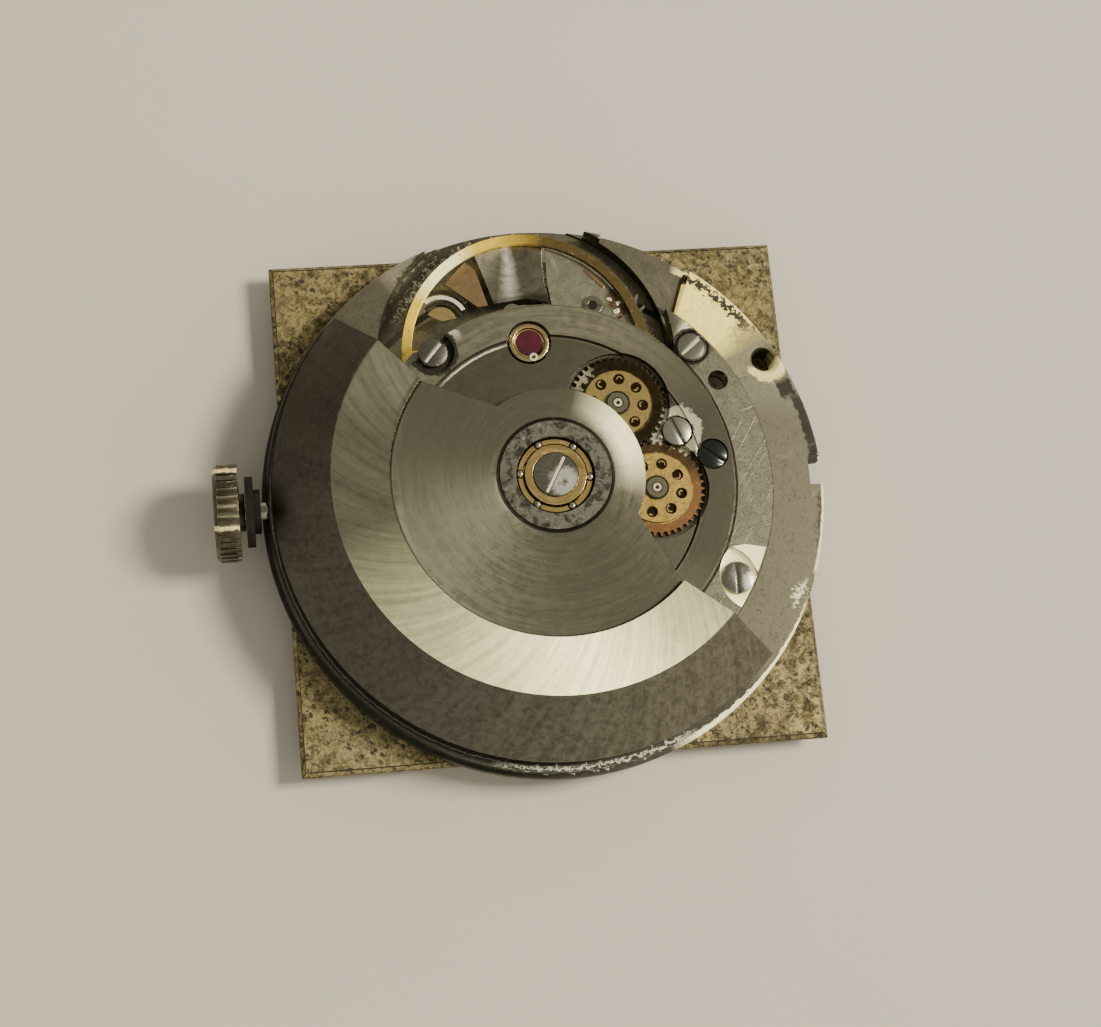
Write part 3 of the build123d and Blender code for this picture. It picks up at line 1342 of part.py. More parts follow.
# Rotor weight: half ring with a conical band
with BuildPart() as rotor_weight:
    ledge_r = rotor_ring_r - rotor_ledge
    with BuildSketch(Plane.XZ):
        with BuildLine():
            profile = [
                (ledge_r, rotor_high_low),
                (rotor_step_r, rotor_high_low),
                (rotor_step_r, rotor_mid_low),
                (rotor_mass_r, rotor_mid_low),
                (rotor_mass_r, rotor_lip_low),
                (rotor_outer_r, rotor_lip_low),
                (rotor_outer_r, rotor_lip_top),
                (rotor_band_r, rotor_top),
                (rotor_ring_r, rotor_top),
                (rotor_ring_r, rotor_plate_low - fit),
                (ledge_r, rotor_plate_low - fit),
            ]
            Polyline(*profile, close=True)
        make_face()
    revolve(axis=Axis.Z)
    far = rotor_outer_r + over
    light_side = (
        rotor_point(rotor_end_along, 0),
        rotor_point(rotor_end_along, rotor_ring_r),
        rotor_point(rotor_tip_along, far),
        rotor_point(-2 * far, far),
        rotor_point(-2 * far, -far),
        rotor_point(rotor_tip_along, -far),
        rotor_point(rotor_end_along, -rotor_ring_r),
    )
    extrude(outline(light_side, rotor_lip_low - over), amount=rotor_top + over, mode=Mode.SUBTRACT)
finish(rotor_weight, "rotor_weight")

# Rotor plate with its round neck
with BuildPart() as rotor_plate:
    neck_along = -((rotor_neck_r**2 - rotor_neck_half**2) ** 0.5)
    with BuildSketch(Plane.XY.offset(rotor_plate_low)):
        Circle(rotor_ring_r - fit)
        with BuildLine():
            heavy_side = [
                rotor_point(neck_along, rotor_neck_half),
                rotor_point(rotor_end_along, rotor_ring_r),
                rotor_point(far, far),
                rotor_point(far, -far),
                rotor_point(rotor_end_along, -rotor_ring_r),
                rotor_point(neck_along, -rotor_neck_half),
            ]
            Polyline(*heavy_side, close=True)
        make_face(mode=Mode.INTERSECT)
        Circle(rotor_neck_r)
        Circle(bearing_outer_r + fit, mode=Mode.SUBTRACT)
    extrude(amount=rotor_plate_high - rotor_plate_low)
finish(rotor_plate, "rotor_plate")

# Outer ring of the ball bearing, with the gear that drives the reverser wheels
with BuildPart() as bearing_outer_ring:
    extrude(toothed(rotor_gear, rotor_gear_low), amount=rotor_gear_thick)
    post(axis, bearing_outer_r, rotor_gear_low, bearing_high)
    post(axis, bearing_outer_r + 3 * gap, rotor_plate_low - 3 * gap, rotor_plate_low - fit)
    post(axis, bearing_bore_r, reverser_low - over, bearing_high + over, Mode.SUBTRACT)
finish(bearing_outer_ring, "bearing_outer_ring")

# Bearing balls
with BuildPart() as bearing_balls:
    for ball in range(ball_count):
        place = polar(ball_ring_r, ball_first + ball * 360 / ball_count)
        with Locations((place[0], place[1], ball_z)):
            Sphere(ball_r)
finish(bearing_balls, "bearing_balls")

# Ball cage
with BuildPart() as bearing_cage:
    post(axis, ball_ring_r + cage_half, cage_low, cage_high)
    post(axis, ball_ring_r - cage_half, cage_low - over, cage_high + over, Mode.SUBTRACT)
    for ball in range(ball_count):
        place = polar(ball_ring_r, ball_first + ball * 360 / ball_count)
        with Locations((place[0], place[1], ball_z)):
            Sphere(ball_r + run, mode=Mode.SUBTRACT)
finish(bearing_cage, "bearing_cage")

# Inner race on its foot
with BuildPart() as bearing_race:
    post(axis, race_foot_r, pocket_floor, race_foot_high)
    post(axis, race_r, race_foot_high, race_high)
    post(axis, race_bore_r, pocket_floor - over, race_high + over, Mode.SUBTRACT)
    post(axis, screw_head_r + run, screw_top - screw_head_thick, race_high + over, Mode.SUBTRACT)
finish(bearing_race, "bearing_race")

# Centre screw of the rotor's bearing
with BuildPart() as bearing_screw:
    screw_long = screw_top - screw_head_thick - floor_low
    screw(axis, screw_top, screw_head_r, screw_head_thick, screw_shank_r, screw_long, screw_slot)
finish(bearing_screw, "bearing_screw")

# Screws of the bridges and the balance cock
with BuildPart() as bridge_screws:
    for place, slot_angle in zip(bridge_screws_at, bridge_slots):
        screw(place, screw_level, bridge_head_r, head_thick, bridge_shank_r, bridge_shank_long, slot_angle)
finish(bridge_screws, "bridge_screws")

# Screws of the automatic work
with BuildPart() as auto_bridge_screws:
    auto_head_thick = head_thick - gap
    long_shank = auto_top - head_thick - plate_top - 6 * gap
    for place, slot_angle in zip(long_screws_at, auto_slots):
        screw(place, auto_top - gap, auto_head_r, auto_head_thick, auto_shank_r, long_shank, slot_angle)
    left_shank = auto_top - head_thick - cock_low - 3 * gap
    auto_head_top = auto_top - gap
    screw(
        screw_auto_left, auto_head_top, auto_head_r, auto_head_thick, auto_shank_r, left_shank, auto_left_slot
    )
finish(auto_bridge_screws, "auto_bridge_screws")

# Small screws
with BuildPart() as small_screws:
    click_top = ratchet_low + click_thick + small_head_thick
    spring_top = click_top - click_thick / 2
    crown_top = ratchet_low + ratchet_thick + gap / 2 + crown_screw_thick
    for place, top, head_r, thick, long in (
        (pallet_screw_at, plate_top + small_head_thick, small_head_r, small_head_thick, 2 * small_shank_long),
        (click_at, click_top, small_head_r, small_head_thick, small_shank_long),
        (click_spring_at, spring_top, small_head_r, small_head_thick, small_shank_long / 2),
        (crown_wheel_at, crown_top, crown_screw_r, crown_screw_thick, small_shank_long),
    ):
        screw(place, top, head_r, thick, small_shank_r, long, small_slot)
    for place in lever_screws_at:
        post(place, small_head_r, lever_spring_low, lever_spring_low + lever_spring_thick)
        post(place, small_shank_r, lever_spring_low + lever_spring_thick, motion_roof)
finish(small_screws, "small_screws")
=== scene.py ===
"""Looks of a self-winding watch movement on its square dial plate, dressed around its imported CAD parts.

Lengths in this file are millimetres unless a name says otherwise. MM turns them into Blender's metres.
"""

import logging
import math
import random
from dataclasses import dataclass
from enum import Enum

import bmesh
import bpy
from mathutils import Matrix, Vector


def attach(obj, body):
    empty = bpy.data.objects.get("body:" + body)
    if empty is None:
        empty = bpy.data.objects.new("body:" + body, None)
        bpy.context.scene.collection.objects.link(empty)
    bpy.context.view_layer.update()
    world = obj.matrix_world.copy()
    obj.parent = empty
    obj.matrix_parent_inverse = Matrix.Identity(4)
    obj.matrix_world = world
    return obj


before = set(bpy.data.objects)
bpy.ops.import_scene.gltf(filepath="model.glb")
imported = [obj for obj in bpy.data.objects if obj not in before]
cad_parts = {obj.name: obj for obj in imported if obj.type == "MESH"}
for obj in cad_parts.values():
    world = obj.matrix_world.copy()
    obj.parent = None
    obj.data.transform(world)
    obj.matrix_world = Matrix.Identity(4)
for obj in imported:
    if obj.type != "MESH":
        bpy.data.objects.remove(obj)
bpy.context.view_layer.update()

LOG = logging.getLogger("watch_movement")
MM = 0.001
Point = tuple[float, float]
Colour = tuple[float, float, float]
Socket = bpy.types.NodeSocket
Value = float | tuple[float, ...] | Socket


class Nodes:
    """A short hand for building one node tree."""

    def __init__(self, tree: bpy.types.NodeTree) -> None:
        """Keeps the tree that nodes are added to."""
        self.tree = tree

    def add(self, kind: str, **settings: object) -> bpy.types.Node:
        """Adds a node.

        Args:
            kind: Blender's name of the node type.
            settings: Attributes set on the node.

        Returns:
            The new node.
        """
        node = self.tree.nodes.new(kind)
        for name, value in settings.items():
            setattr(node, name, value)
        return node

    def put(self, socket: Socket, value: Value) -> None:
        """Links a socket into another, or sets a plain value on it.

        Args:
            socket: The input that takes the value.
            value: An output socket, a number, a point or a colour.
        """
        if isinstance(value, Socket):
            self.tree.links.new(value, socket)
        elif socket.type == "RGBA":
            socket.default_value = (*value, 1.0)
        else:
            socket.default_value = value

    def math(self, operation: str, a: Value, b: Value = 0.0, clamp: bool = False) -> Socket:
        """Adds a maths node.

        Args:
            operation: Blender's name of the operation.
            a: First value.
            b: Second value.
            clamp: Whether the result is kept between 0 and 1.

        Returns:
            The result's socket.
        """
        node = self.add("ShaderNodeMath", operation=operation, use_clamp=clamp)
        self.put(node.inputs[0], a)
        self.put(node.inputs[1], b)
        return node.outputs[0]

    def plus(self, a: Value, b: Value) -> Socket:
        """Sum of two numbers."""
        return self.math("ADD", a, b)

    def minus(self, a: Value, b: Value) -> Socket:
        """Difference of two numbers."""
        return self.math("SUBTRACT", a, b)

    def times(self, a: Value, b: Value) -> Socket:
        """Product of two numbers."""
        return self.math("MULTIPLY", a, b)

    def ramp(self, value: Value, width: Value) -> Socket:
        """Number that climbs from 0 to 1 while the value covers a width."""
        return self.math("DIVIDE", value, width, True)

    def vector(self, operation: str, a: Value, b: Value = (0.0, 0.0, 0.0)) -> Socket:
        """Adds a vector maths node.

        Args:
            operation: Blender's name of the operation.
            a: First vector.
            b: Second vector; for SCALE it is the factor.

        Returns:
            The result's socket: a number for LENGTH and DOT_PRODUCT, otherwise a vector.
        """
        node = self.add("ShaderNodeVectorMath", operation=operation)
        self.put(node.inputs[0], a)
        self.put(node.inputs["Scale"] if operation == "SCALE" else node.inputs[1], b)
        return node.outputs["Value" if operation in ("LENGTH", "DOT_PRODUCT") else "Vector"]

    def point(self, x: Value, y: Value, z: Value = 0.0) -> Socket:
        """Joins three numbers into a vector.

        Args:
            x: First number.
            y: Second number.
            z: Third number.

        Returns:
            The vector's socket.
        """
        node = self.add("ShaderNodeCombineXYZ")
        for socket, value in zip(node.inputs, (x, y, z)):
            self.put(socket, value)
        return node.outputs[0]

    def axes(self, vector: Value) -> tuple[Socket, ...]:
        """Splits a vector into the sockets of its three numbers.

        Args:
            vector: The vector.

        Returns:
            The three sockets.
        """
        node = self.add("ShaderNodeSeparateXYZ")
        self.put(node.inputs[0], vector)
        return tuple(node.outputs)

    def spun(self, vector: Value, angle: Value) -> Socket:
        """Turns a vector round the upright axis.

        Args:
            vector: The vector.
            angle: The angle in radians.

        Returns:
            The turned vector's socket.
        """
        node = self.add("ShaderNodeVectorRotate", rotation_type="Z_AXIS")
        self.put(node.inputs["Vector"], vector)
        self.put(node.inputs["Angle"], angle)
        return node.outputs[0]

    def mix(self, share: Value, a: Value, b: Value) -> Socket:
        """Mixes two colours.

        Args:
            share: How much of b shows, 0 to 1.
            a: First colour.
            b: Second colour.

        Returns:
            The mixed colour's socket.
        """
        node = self.add("ShaderNodeMix", data_type="RGBA")
        for index, value in ((0, share), (6, a), (7, b)):
            self.put(node.inputs[index], value)
        return node.outputs[2]

    def span(
        self, value: Value, low: float, high: float, to_low: float = 0.0, to_high: float = 1.0
    ) -> Socket:
        """Maps a range of a value to another, clamped and smooth.

        Args:
            value: The value to map.
            low: Value that becomes to_low.
            high: Value that becomes to_high.
            to_low: Result at low.
            to_high: Result at high.

        Returns:
            The mapped value's socket.
        """
        node = self.add("ShaderNodeMapRange", interpolation_type="SMOOTHSTEP")
        ends = {"Value": value, "From Min": low, "From Max": high, "To Min": to_low, "To Max": to_high}
        for name, item in ends.items():
            self.put(node.inputs[name], item)
        return node.outputs["Result"]

    def noise(
        self, vector: Value, scale: Value, detail: float = 2.0, rough: float = 0.5, bend: float = 0.0
    ) -> Socket:
        """Adds a noise texture.

        Args:
            vector: The place.
            scale: Cycles per unit.
            detail: Octaves.
            rough: Weight of the finer octaves.
            bend: Distortion.

        Returns:
            The noise value's socket.
        """
        node = self.add("ShaderNodeTexNoise")
        values = {"Vector": vector, "Scale": scale, "Detail": detail, "Roughness": rough, "Distortion": bend}
        for name, item in values.items():
            self.put(node.inputs[name], item)
        return node.outputs[0]

    def group(self, name: str, **values: Value) -> Socket:
        """Places a node group and sets its inputs.

        Args:
            name: Its name in GROUPS.
            values: Inputs by name, with _ for spaces.

        Returns:
            The group's result.
        """
        node = self.add("ShaderNodeGroup", node_tree=GROUPS[name])
        for label, value in values.items():
            self.put(node.inputs[label.replace("_", " ")], value)
        return node.outputs[0]

    def bump(self, shader: bpy.types.Node, height: Value, strength: float, depth: float) -> None:
        """Gives a shader a bump.

        Args:
            shader: The shader.
            height: The bump's height, 0 to 1.
            strength: How much of the bump shows.
            depth: Depth of a height of 1.
        """
        node = self.add("ShaderNodeBump")
        node.inputs["Strength"].default_value = strength
        node.inputs["Distance"].default_value = depth * MM
        self.put(node.inputs["Height"], height)
        self.put(shader.inputs["Normal"], node.outputs[0])


def new_group(
    name: str, result: str, **inputs: float
) -> tuple[bpy.types.NodeTree, Nodes, dict[str, Socket], Socket]:
    """Starts a shader node group.

    Args:
        name: The group's name.
        result: Name of its one output, a number.
        inputs: Number inputs and their usual values, with _ for spaces. A Place vector comes before them.

    Returns:
        The tree, its helper, the group's given values by name, and the socket that takes the result.
    """
    tree = bpy.data.node_groups.new(name, "ShaderNodeTree")
    tree.interface.new_socket(name="Place", in_out="INPUT", socket_type="NodeSocketVector")
    for label, usual in inputs.items():
        words = label.replace("_", " ")
        socket = tree.interface.new_socket(name=words, in_out="INPUT", socket_type="NodeSocketFloat")
        socket.default_value = usual
    tree.interface.new_socket(name=result, in_out="OUTPUT", socket_type="NodeSocketFloat")
    kit = Nodes(tree)
    source, sink = kit.add("NodeGroupInput"), kit.add("NodeGroupOutput")
    given = {socket.name: socket for socket in source.outputs if socket.name}
    return tree, kit, given, sink.inputs[result]


def offset_place(kit: Nodes, given: dict[str, Socket]) -> Socket:
    """Place relative to a group's Centre X and Centre Y inputs."""
    return kit.vector("SUBTRACT", given["Place"], kit.point(given["Centre X"], given["Centre Y"]))


def wrapped(kit: Nodes, angle: Value, start: Value) -> Socket:
    """Measures an angle from a start angle, between minus and plus half a turn.

    Args:
        kit: Helper of the tree.
        angle: The angle in radians.
        start: The start angle in radians.

    Returns:
        The angle's socket.
    """
    node = kit.add("ShaderNodeMath", operation="WRAP")
    kit.put(node.inputs[0], kit.minus(angle, start))
    node.inputs[1].default_value = math.pi
    node.inputs[2].default_value = -math.pi
    return node.outputs[0]


def turned_group() -> bpy.types.NodeTree:
    """Makes the group of fine lines that run round a centre, or spiral out from it, as a lathe leaves them.

    Returns:
        The group.
    """
    tree, kit, given, result = new_group(
        "turned_grain", "Grain", Centre_X=0.0, Centre_Y=0.0, Fineness=6.0, Run=1.2, Sweep=0.0, Seam=0.0
    )
    x, y, z = kit.axes(offset_place(kit, given))
    radius = kit.vector("LENGTH", kit.point(x, y))
    angle = kit.math("ARCTAN2", y, x)
    swept = kit.times(wrapped(kit, angle, given["Seam"]), given["Sweep"])
    spot = kit.point(
        kit.times(kit.math("COSINE", angle), given["Run"]),
        kit.times(kit.math("SINE", angle), given["Run"]),
        kit.plus(kit.times(kit.plus(radius, swept), given["Fineness"]), z),
    )
    kit.put(result, kit.noise(spot, 1.0, 3.0, 0.65))
    return tree


def mottle_group() -> bpy.types.NodeTree:
    """Makes the group of cloudy tarnish in two sizes.

    Returns:
        The group.
    """
    tree, kit, given, result = new_group("mottle", "Mask", Scale=1.0, Cover=0.5)
    wide = kit.noise(given["Place"], given["Scale"], 4.0, 0.6, 0.6)
    fine = kit.noise(given["Place"], kit.times(given["Scale"], 5.3), 3.0, 0.6)
    both = kit.plus(kit.times(wide, 0.7), kit.times(fine, 0.3))
    kit.put(result, kit.span(kit.plus(both, kit.minus(given["Cover"], 0.5)), 0.38, 0.66))
    return tree


def speck_group() -> bpy.types.NodeTree:
    """Makes the group of small round spots of uneven size, gathered in patches.

    Returns:
        The group.
    """
    tree, kit, given, result = new_group("specks", "Mask", Scale=2.0, Size=0.2, Cover=0.5)
    cells = kit.add("ShaderNodeTexVoronoi", feature="F1")
    warp = kit.noise(given["Place"], kit.times(given["Scale"], 2.1), 2.0)
    moved = kit.vector("ADD", given["Place"], kit.vector("SCALE", (0.5, -0.4, 0.3), warp))
    kit.put(cells.inputs["Vector"], moved)
    kit.put(cells.inputs["Scale"], given["Scale"])
    luck = kit.add("ShaderNodeSeparateColor")
    kit.put(luck.inputs[0], cells.outputs["Color"])
    reach = kit.times(given["Size"], kit.math("POWER", luck.outputs[0], 2.0))
    dot = kit.span(kit.minus(reach, cells.outputs["Distance"]), 0.0, 0.06)
    patch = kit.noise(given["Place"], kit.times(given["Scale"], 0.16), 2.0)
    patchy = kit.span(kit.plus(patch, kit.minus(given["Cover"], 0.5)), 0.42, 0.56)
    kit.put(result, kit.times(dot, patchy))
    return tree


def scratch_group() -> bpy.types.NodeTree:
    """Makes the group of sparse hairline scratches in four directions.

    Returns:
        The group.
    """
    tree, kit, given, result = new_group("scratches", "Mask", Fineness=1.6, Amount=0.5)
    total: Value = 0.0
    for number, heading in enumerate((0.35, 1.25, 2.2, 2.75)):
        drawn = kit.vector("MULTIPLY", kit.spun(given["Place"], heading), (0.05, 1.0, 0.3))
        line = kit.noise(kit.vector("ADD", drawn, (number * 7.3,) * 3), given["Fineness"], 1.0, 0.4, 0.15)
        thin = kit.span(kit.math("ABSOLUTE", kit.minus(line, 0.5)), 0.0, 0.004, 1.0, 0.0)
        where = kit.noise(kit.vector("ADD", given["Place"], (number * 3.1,) * 3), 0.34, 1.0)
        here = kit.span(kit.plus(where, kit.times(given["Amount"], 0.3)), 0.62, 0.7)
        total = kit.math("MAXIMUM", total, kit.times(thin, here))
    kit.put(result, total)
    return tree


def ring_mask_group() -> bpy.types.NodeTree:
    """Makes the group that masks a ring, a disc or an arc round a centre, with a ragged edge where asked.

    Returns:
        The group.
    """
    tree, kit, given, result = new_group(
        "ring_mask", "Mask", Centre_X=0.0, Centre_Y=0.0, Inner=0.0, Outer=1.0, Soft=0.03, Ragged=0.0,
        Heading=0.0, Spread=9.0, Fade=0.02, Under=99.0, Flat=0.0,
    )
    x, y, z = kit.axes(offset_place(kit, given))
    torn = kit.minus(kit.noise(given["Place"], 3.2, 4.0, 0.7), 0.5)
    radius = kit.plus(kit.vector("LENGTH", kit.point(x, y)), kit.times(torn, given["Ragged"]))
    inside = kit.ramp(kit.minus(given["Outer"], radius), given["Soft"])
    beyond = kit.ramp(kit.minus(radius, given["Inner"]), given["Soft"])
    away = kit.math("ABSOLUTE", wrapped(kit, kit.math("ARCTAN2", y, x), given["Heading"]))
    away = kit.plus(away, kit.times(torn, kit.times(given["Ragged"], 0.1)))
    within = kit.ramp(kit.minus(given["Spread"], away), given["Fade"])
    low = kit.ramp(kit.minus(given["Under"], z), 0.01)
    upward = kit.axes(kit.add("ShaderNodeNewGeometry").outputs["Normal"])[2]
    steep = kit.times(given["Flat"], kit.minus(1.0, kit.span(upward, 0.85, 0.95)))
    low = kit.times(low, kit.minus(1.0, steep))
    kit.put(result, kit.times(kit.times(inside, beyond), kit.times(within, low)))
    return tree


GROUPS = {
    "turned": turned_group(),
    "mottle": mottle_group(),
    "specks": speck_group(),
    "scratches": scratch_group(),
    "ring": ring_mask_group(),
}


class Grain(Enum):
    """How a surface was finished."""

    PLAIN = "plain"
    TURNED = "turned"


@dataclass(frozen=True)
class Zone:
    """A ring, a disc or an arc on a surface, with its own colour and gloss.

    Attributes:
        centre: Its middle.
        inner: Its inner radius, 0 for a disc.
        outer: Its outer radius.
        colour: Its colour.
        share: How much of it shows, 0 to 1.
        edge: The width of its soft edge, and how far that edge wanders.
        gloss: Its roughness, then its metallic share where that differs too.
        arc: Its heading, half width and fade in degrees. It goes all round when left out.
        glow: How strongly it glows in its own colour: a painted highlight that shines without a lamp.
        under: Height that it stays under.
        flat: Whether it keeps to level faces.
    """

    centre: Point
    inner: float
    outer: float
    colour: Colour
    share: float = 1.0
    edge: tuple[float, float] = (0.03, 0.0)
    gloss: tuple[float, ...] = ()
    arc: tuple[float, float, float] = (0.0, 400.0, 1.0)
    glow: float = 0.0
    under: float = 99.0
    flat: bool = False

    def mask(self, kit: Nodes, place: Socket) -> Socket:
        """Places the ring mask group for this zone.

        Args:
            kit: Helper of the material's tree.
            place: Place in millimetres.

        Returns:
            The mask's socket.
        """
        heading, spread, fade = (math.radians(turn) for turn in self.arc)
        return kit.group(
            "ring", Place=place, Centre_X=self.centre[0], Centre_Y=self.centre[1], Inner=self.inner,
            Outer=self.outer, Soft=self.edge[0], Ragged=self.edge[1], Heading=heading, Spread=spread,
            Fade=fade, Under=self.under, Flat=float(self.flat),
        )


@dataclass(frozen=True)
class Surface:
    """A named material that is made once.

    Attributes:
        name: The material's name.
    """

    name: str

    def build(self) -> bpy.types.Material:
        """Makes the material.

        Returns:
            The material, found again by its name after the first call.
        """
        if self.name in bpy.data.materials:
            return bpy.data.materials[self.name]
        material = bpy.data.materials.new(self.name)
        material.use_nodes = True
        kit = Nodes(material.node_tree)
        place = kit.vector("SCALE", kit.add("ShaderNodeTexCoord").outputs["Object"], 1 / MM)
        self.fill(kit, material.node_tree.nodes["Principled BSDF"], place)
        return material

    def fill(self, kit: Nodes, shader: bpy.types.Node, place: Socket) -> None:
        """Sets the shader's inputs; each kind of surface has its own."""
        raise NotImplementedError


@dataclass(frozen=True)
class Metal(Surface):
    """A metal finish: its colour, tarnish, grain, specks, scratches and gloss.

    Attributes:
        colour: Its clean colour.
        tarnish: Colour of its clouds of tarnish.
        tarnish_share: How much the clouds cover.
        tarnish_scale: Clouds per millimetre.
        cover: How far the clouds spread, 0.5 for half.
        rough: Its roughness.
        rough_grain: How much the grain changes that.
        grain: The kind of grain.
        centre: Middle of a turned grain.
        fineness: Grain lines per millimetre across them.
        run: Changes of a turned grain on its way round.
        sweep: How far a turned grain spirals outwards in a radian.
        seam: Angle in degrees where that spiral begins.
        lean: Angle in degrees from the radius to the stretched highlight.
        grain_share: How much the grain darkens.
        grain_height: How deep the grain is cut.
        anisotropy: How much highlights are stretched.
        speck_colour: Colour of its spots.
        speck_share: How much they show.
        speck_scale: Spots per millimetre.
        speck_size: Their size.
        speck_cover: How far their patches spread.
        scratch_share: How much its scratches show.
        scratch_colour: Their colour.
        scratch_amount: How many there are.
        metallic: Its metallic share.
        grained: Where the grain shows, everywhere when left out.
        zones: Its zones, the later ones over the earlier.
    """

    colour: Colour
    tarnish: Colour = (0.2, 0.18, 0.12)
    tarnish_share: float = 0.25
    tarnish_scale: float = 0.6
    cover: float = 0.5
    rough: float = 0.35
    rough_grain: float = 0.12
    grain: Grain = Grain.PLAIN
    centre: Point = (0.0, 0.0)
    fineness: float = 6.0
    run: float = 1.2
    sweep: float = 0.0
    seam: float = 0.0
    lean: float = 0.0
    grain_share: float = 0.18
    grain_height: float = 0.6
    anisotropy: float = 0.0
    speck_colour: Colour = (0.03, 0.025, 0.015)
    speck_share: float = 0.0
    speck_scale: float = 3.0
    speck_size: float = 0.3
    speck_cover: float = 0.5
    scratch_share: float = 0.12
    scratch_colour: Colour = (0.85, 0.82, 0.7)
    scratch_amount: float = 0.4
    metallic: float = 1.0
    grained: Zone | None = None
    zones: tuple[Zone, ...] = ()

    def fill(self, kit: Nodes, shader: bpy.types.Node, place: Socket) -> None:
        """Sets the shader's inputs.

        Args:
            kit: Helper of the material's tree.
            shader: The shader.
            place: Place in millimetres.
        """
        grain = kit.span(self.grain_value(kit, place), 0.3, 0.7)
        mottle = kit.group("mottle", Place=place, Scale=self.tarnish_scale, Cover=self.cover)
        colour = kit.mix(kit.times(mottle, self.tarnish_share), self.colour, self.tarnish)
        worn = kit.times(mottle, 0.3 * self.tarnish_share)
        rough = kit.plus(kit.times(grain, self.rough_grain), self.rough - self.rough_grain / 2)
        colour, rough, metal, light = self.add_zones(kit, place, colour, kit.plus(rough, worn))
        if self.grained is not None:
            shown = kit.times(self.grained.mask(kit, place), self.grained.share)
            grain = kit.times(grain, kit.plus(shown, 1.0 - self.grained.share))
        worn = kit.plus(kit.times(grain, 0.6 * self.grain_share), worn)
        shade = kit.minus(1.0 + 0.25 * self.grain_share, worn)
        colour = kit.vector("SCALE", colour, shade)
        # Glowing zones emit their colour: painted highlights that shine without a lamp.
        if light is not None:
            kit.put(shader.inputs["Emission Color"], kit.vector("SCALE", light, shade))
            shader.inputs["Emission Strength"].default_value = 1.0
        lines = kit.group("scratches", Place=place, Amount=self.scratch_amount)
        colour = kit.mix(kit.times(lines, self.scratch_share), colour, self.scratch_colour)
        cut = kit.times(lines, min(1.0, 2 * self.scratch_share))
        height = kit.minus(kit.times(grain, 0.5 * self.grain_height), cut)
        if self.speck_share:
            values = {"Scale": self.speck_scale, "Size": self.speck_size, "Cover": self.speck_cover}
            dots = kit.times(kit.group("specks", Place=place, **values), self.speck_share)
            colour = kit.mix(dots, colour, self.speck_colour)
            rough = kit.plus(rough, kit.times(dots, 0.4))
            height = kit.minus(height, dots)
            metal = kit.minus(metal, kit.times(dots, 0.8))
        kit.bump(shader, height, 0.6, 0.004)
        kit.put(shader.inputs["Metallic"], metal)
        kit.put(shader.inputs["Base Color"], colour)
        kit.put(shader.inputs["Roughness"], kit.math("MAXIMUM", rough, 0.04))
        if self.anisotropy:
            shader.inputs["Anisotropic"].default_value = self.anisotropy
            kit.put(shader.inputs["Tangent"], self.tangent(kit, place))

    def add_zones(
        self, kit: Nodes, place: Socket, colour: Socket, rough: Socket
    ) -> tuple[Socket, Socket, Value, Socket | None]:
        """Lays the zones over the finish one after another.

        Args:
            kit: Helper of the material's tree.
            place: Place in millimetres.
            colour: The colour under the zones.
            rough: The roughness under the zones.

        Returns:
            The colour, the roughness, the metallic share and the glow of the painted highlights, None without
            one.
        """
        metal: Value = self.metallic
        light: Socket | None = None
        for zone in self.zones:
            mask = kit.times(zone.mask(kit, place), zone.share)
            colour = kit.mix(mask, colour, zone.colour)
            if zone.gloss:
                rough = kit.plus(rough, kit.times(mask, kit.minus(zone.gloss[0], rough)))
            if len(zone.gloss) > 1:
                metal = kit.plus(metal, kit.times(mask, kit.minus(zone.gloss[1], metal)))
            if light is not None:
                light = kit.vector("SCALE", light, kit.minus(1.0, mask))
            # A zone's glow is a painted highlight, emitted in the zone's colour.
            if zone.glow:
                painted_highlight = kit.vector("SCALE", zone.colour, kit.times(mask, zone.glow))
                light = painted_highlight if light is None else kit.vector("ADD", light, painted_highlight)
        return colour, rough, metal, light

    def grain_value(self, kit: Nodes, place: Socket) -> Socket:
        """Places the grain that this finish uses.

        Args:
            kit: Helper of the material's tree.
            place: Place in millimetres.

        Returns:
            The grain's socket.
        """
        if self.grain is Grain.PLAIN:
            return kit.noise(place, self.fineness, 4.0, 0.7)
        return kit.group(
            "turned", Place=place, Centre_X=self.centre[0], Centre_Y=self.centre[1], Fineness=self.fineness,
            Run=self.run, Sweep=self.sweep, Seam=math.radians(self.seam),
        )

    def tangent(self, kit: Nodes, place: Socket) -> Socket:
        """Direction in which the shader stretches its highlight.

        Args:
            kit: Helper of the material's tree.
            place: Place in millimetres.

        Returns:
            The direction's socket, in world space.
        """
        arm = kit.vector("SUBTRACT", place, (*self.centre, 0.0))
        local = kit.spun(kit.vector("MULTIPLY", arm, (1.0, 1.0, 0.0)), math.radians(self.lean))
        turn = kit.add("ShaderNodeVectorTransform", convert_from="OBJECT", convert_to="WORLD")
        turn.vector_type = "VECTOR"
        kit.put(turn.inputs[0], local)
        return kit.vector("NORMALIZE", turn.outputs[0])


@dataclass(frozen=True)
class Stone(Surface):
    """A synthetic ruby: clear red with a bright polish.

    Attributes:
        colour: Its colour.
        clear: How much light goes through.
    """

    colour: Colour
    clear: float

    def fill(self, kit: Nodes, shader: bpy.types.Node, place: Socket) -> None:
        """Sets the shader's inputs.

        Args:
            kit: Helper of the material's tree.
            shader: The shader.
            place: Place in millimetres.
        """
        cloud = kit.group("mottle", Place=place, Scale=2.2, Cover=0.5)
        deep = tuple(0.55 * part for part in self.colour)
        kit.put(shader.inputs["Base Color"], kit.mix(cloud, self.colour, deep))
        kit.put(shader.inputs["Roughness"], kit.plus(kit.times(cloud, 0.05), 0.05))
        shader.inputs["Transmission Weight"].default_value = self.clear
        shader.inputs["IOR"].default_value = 1.76


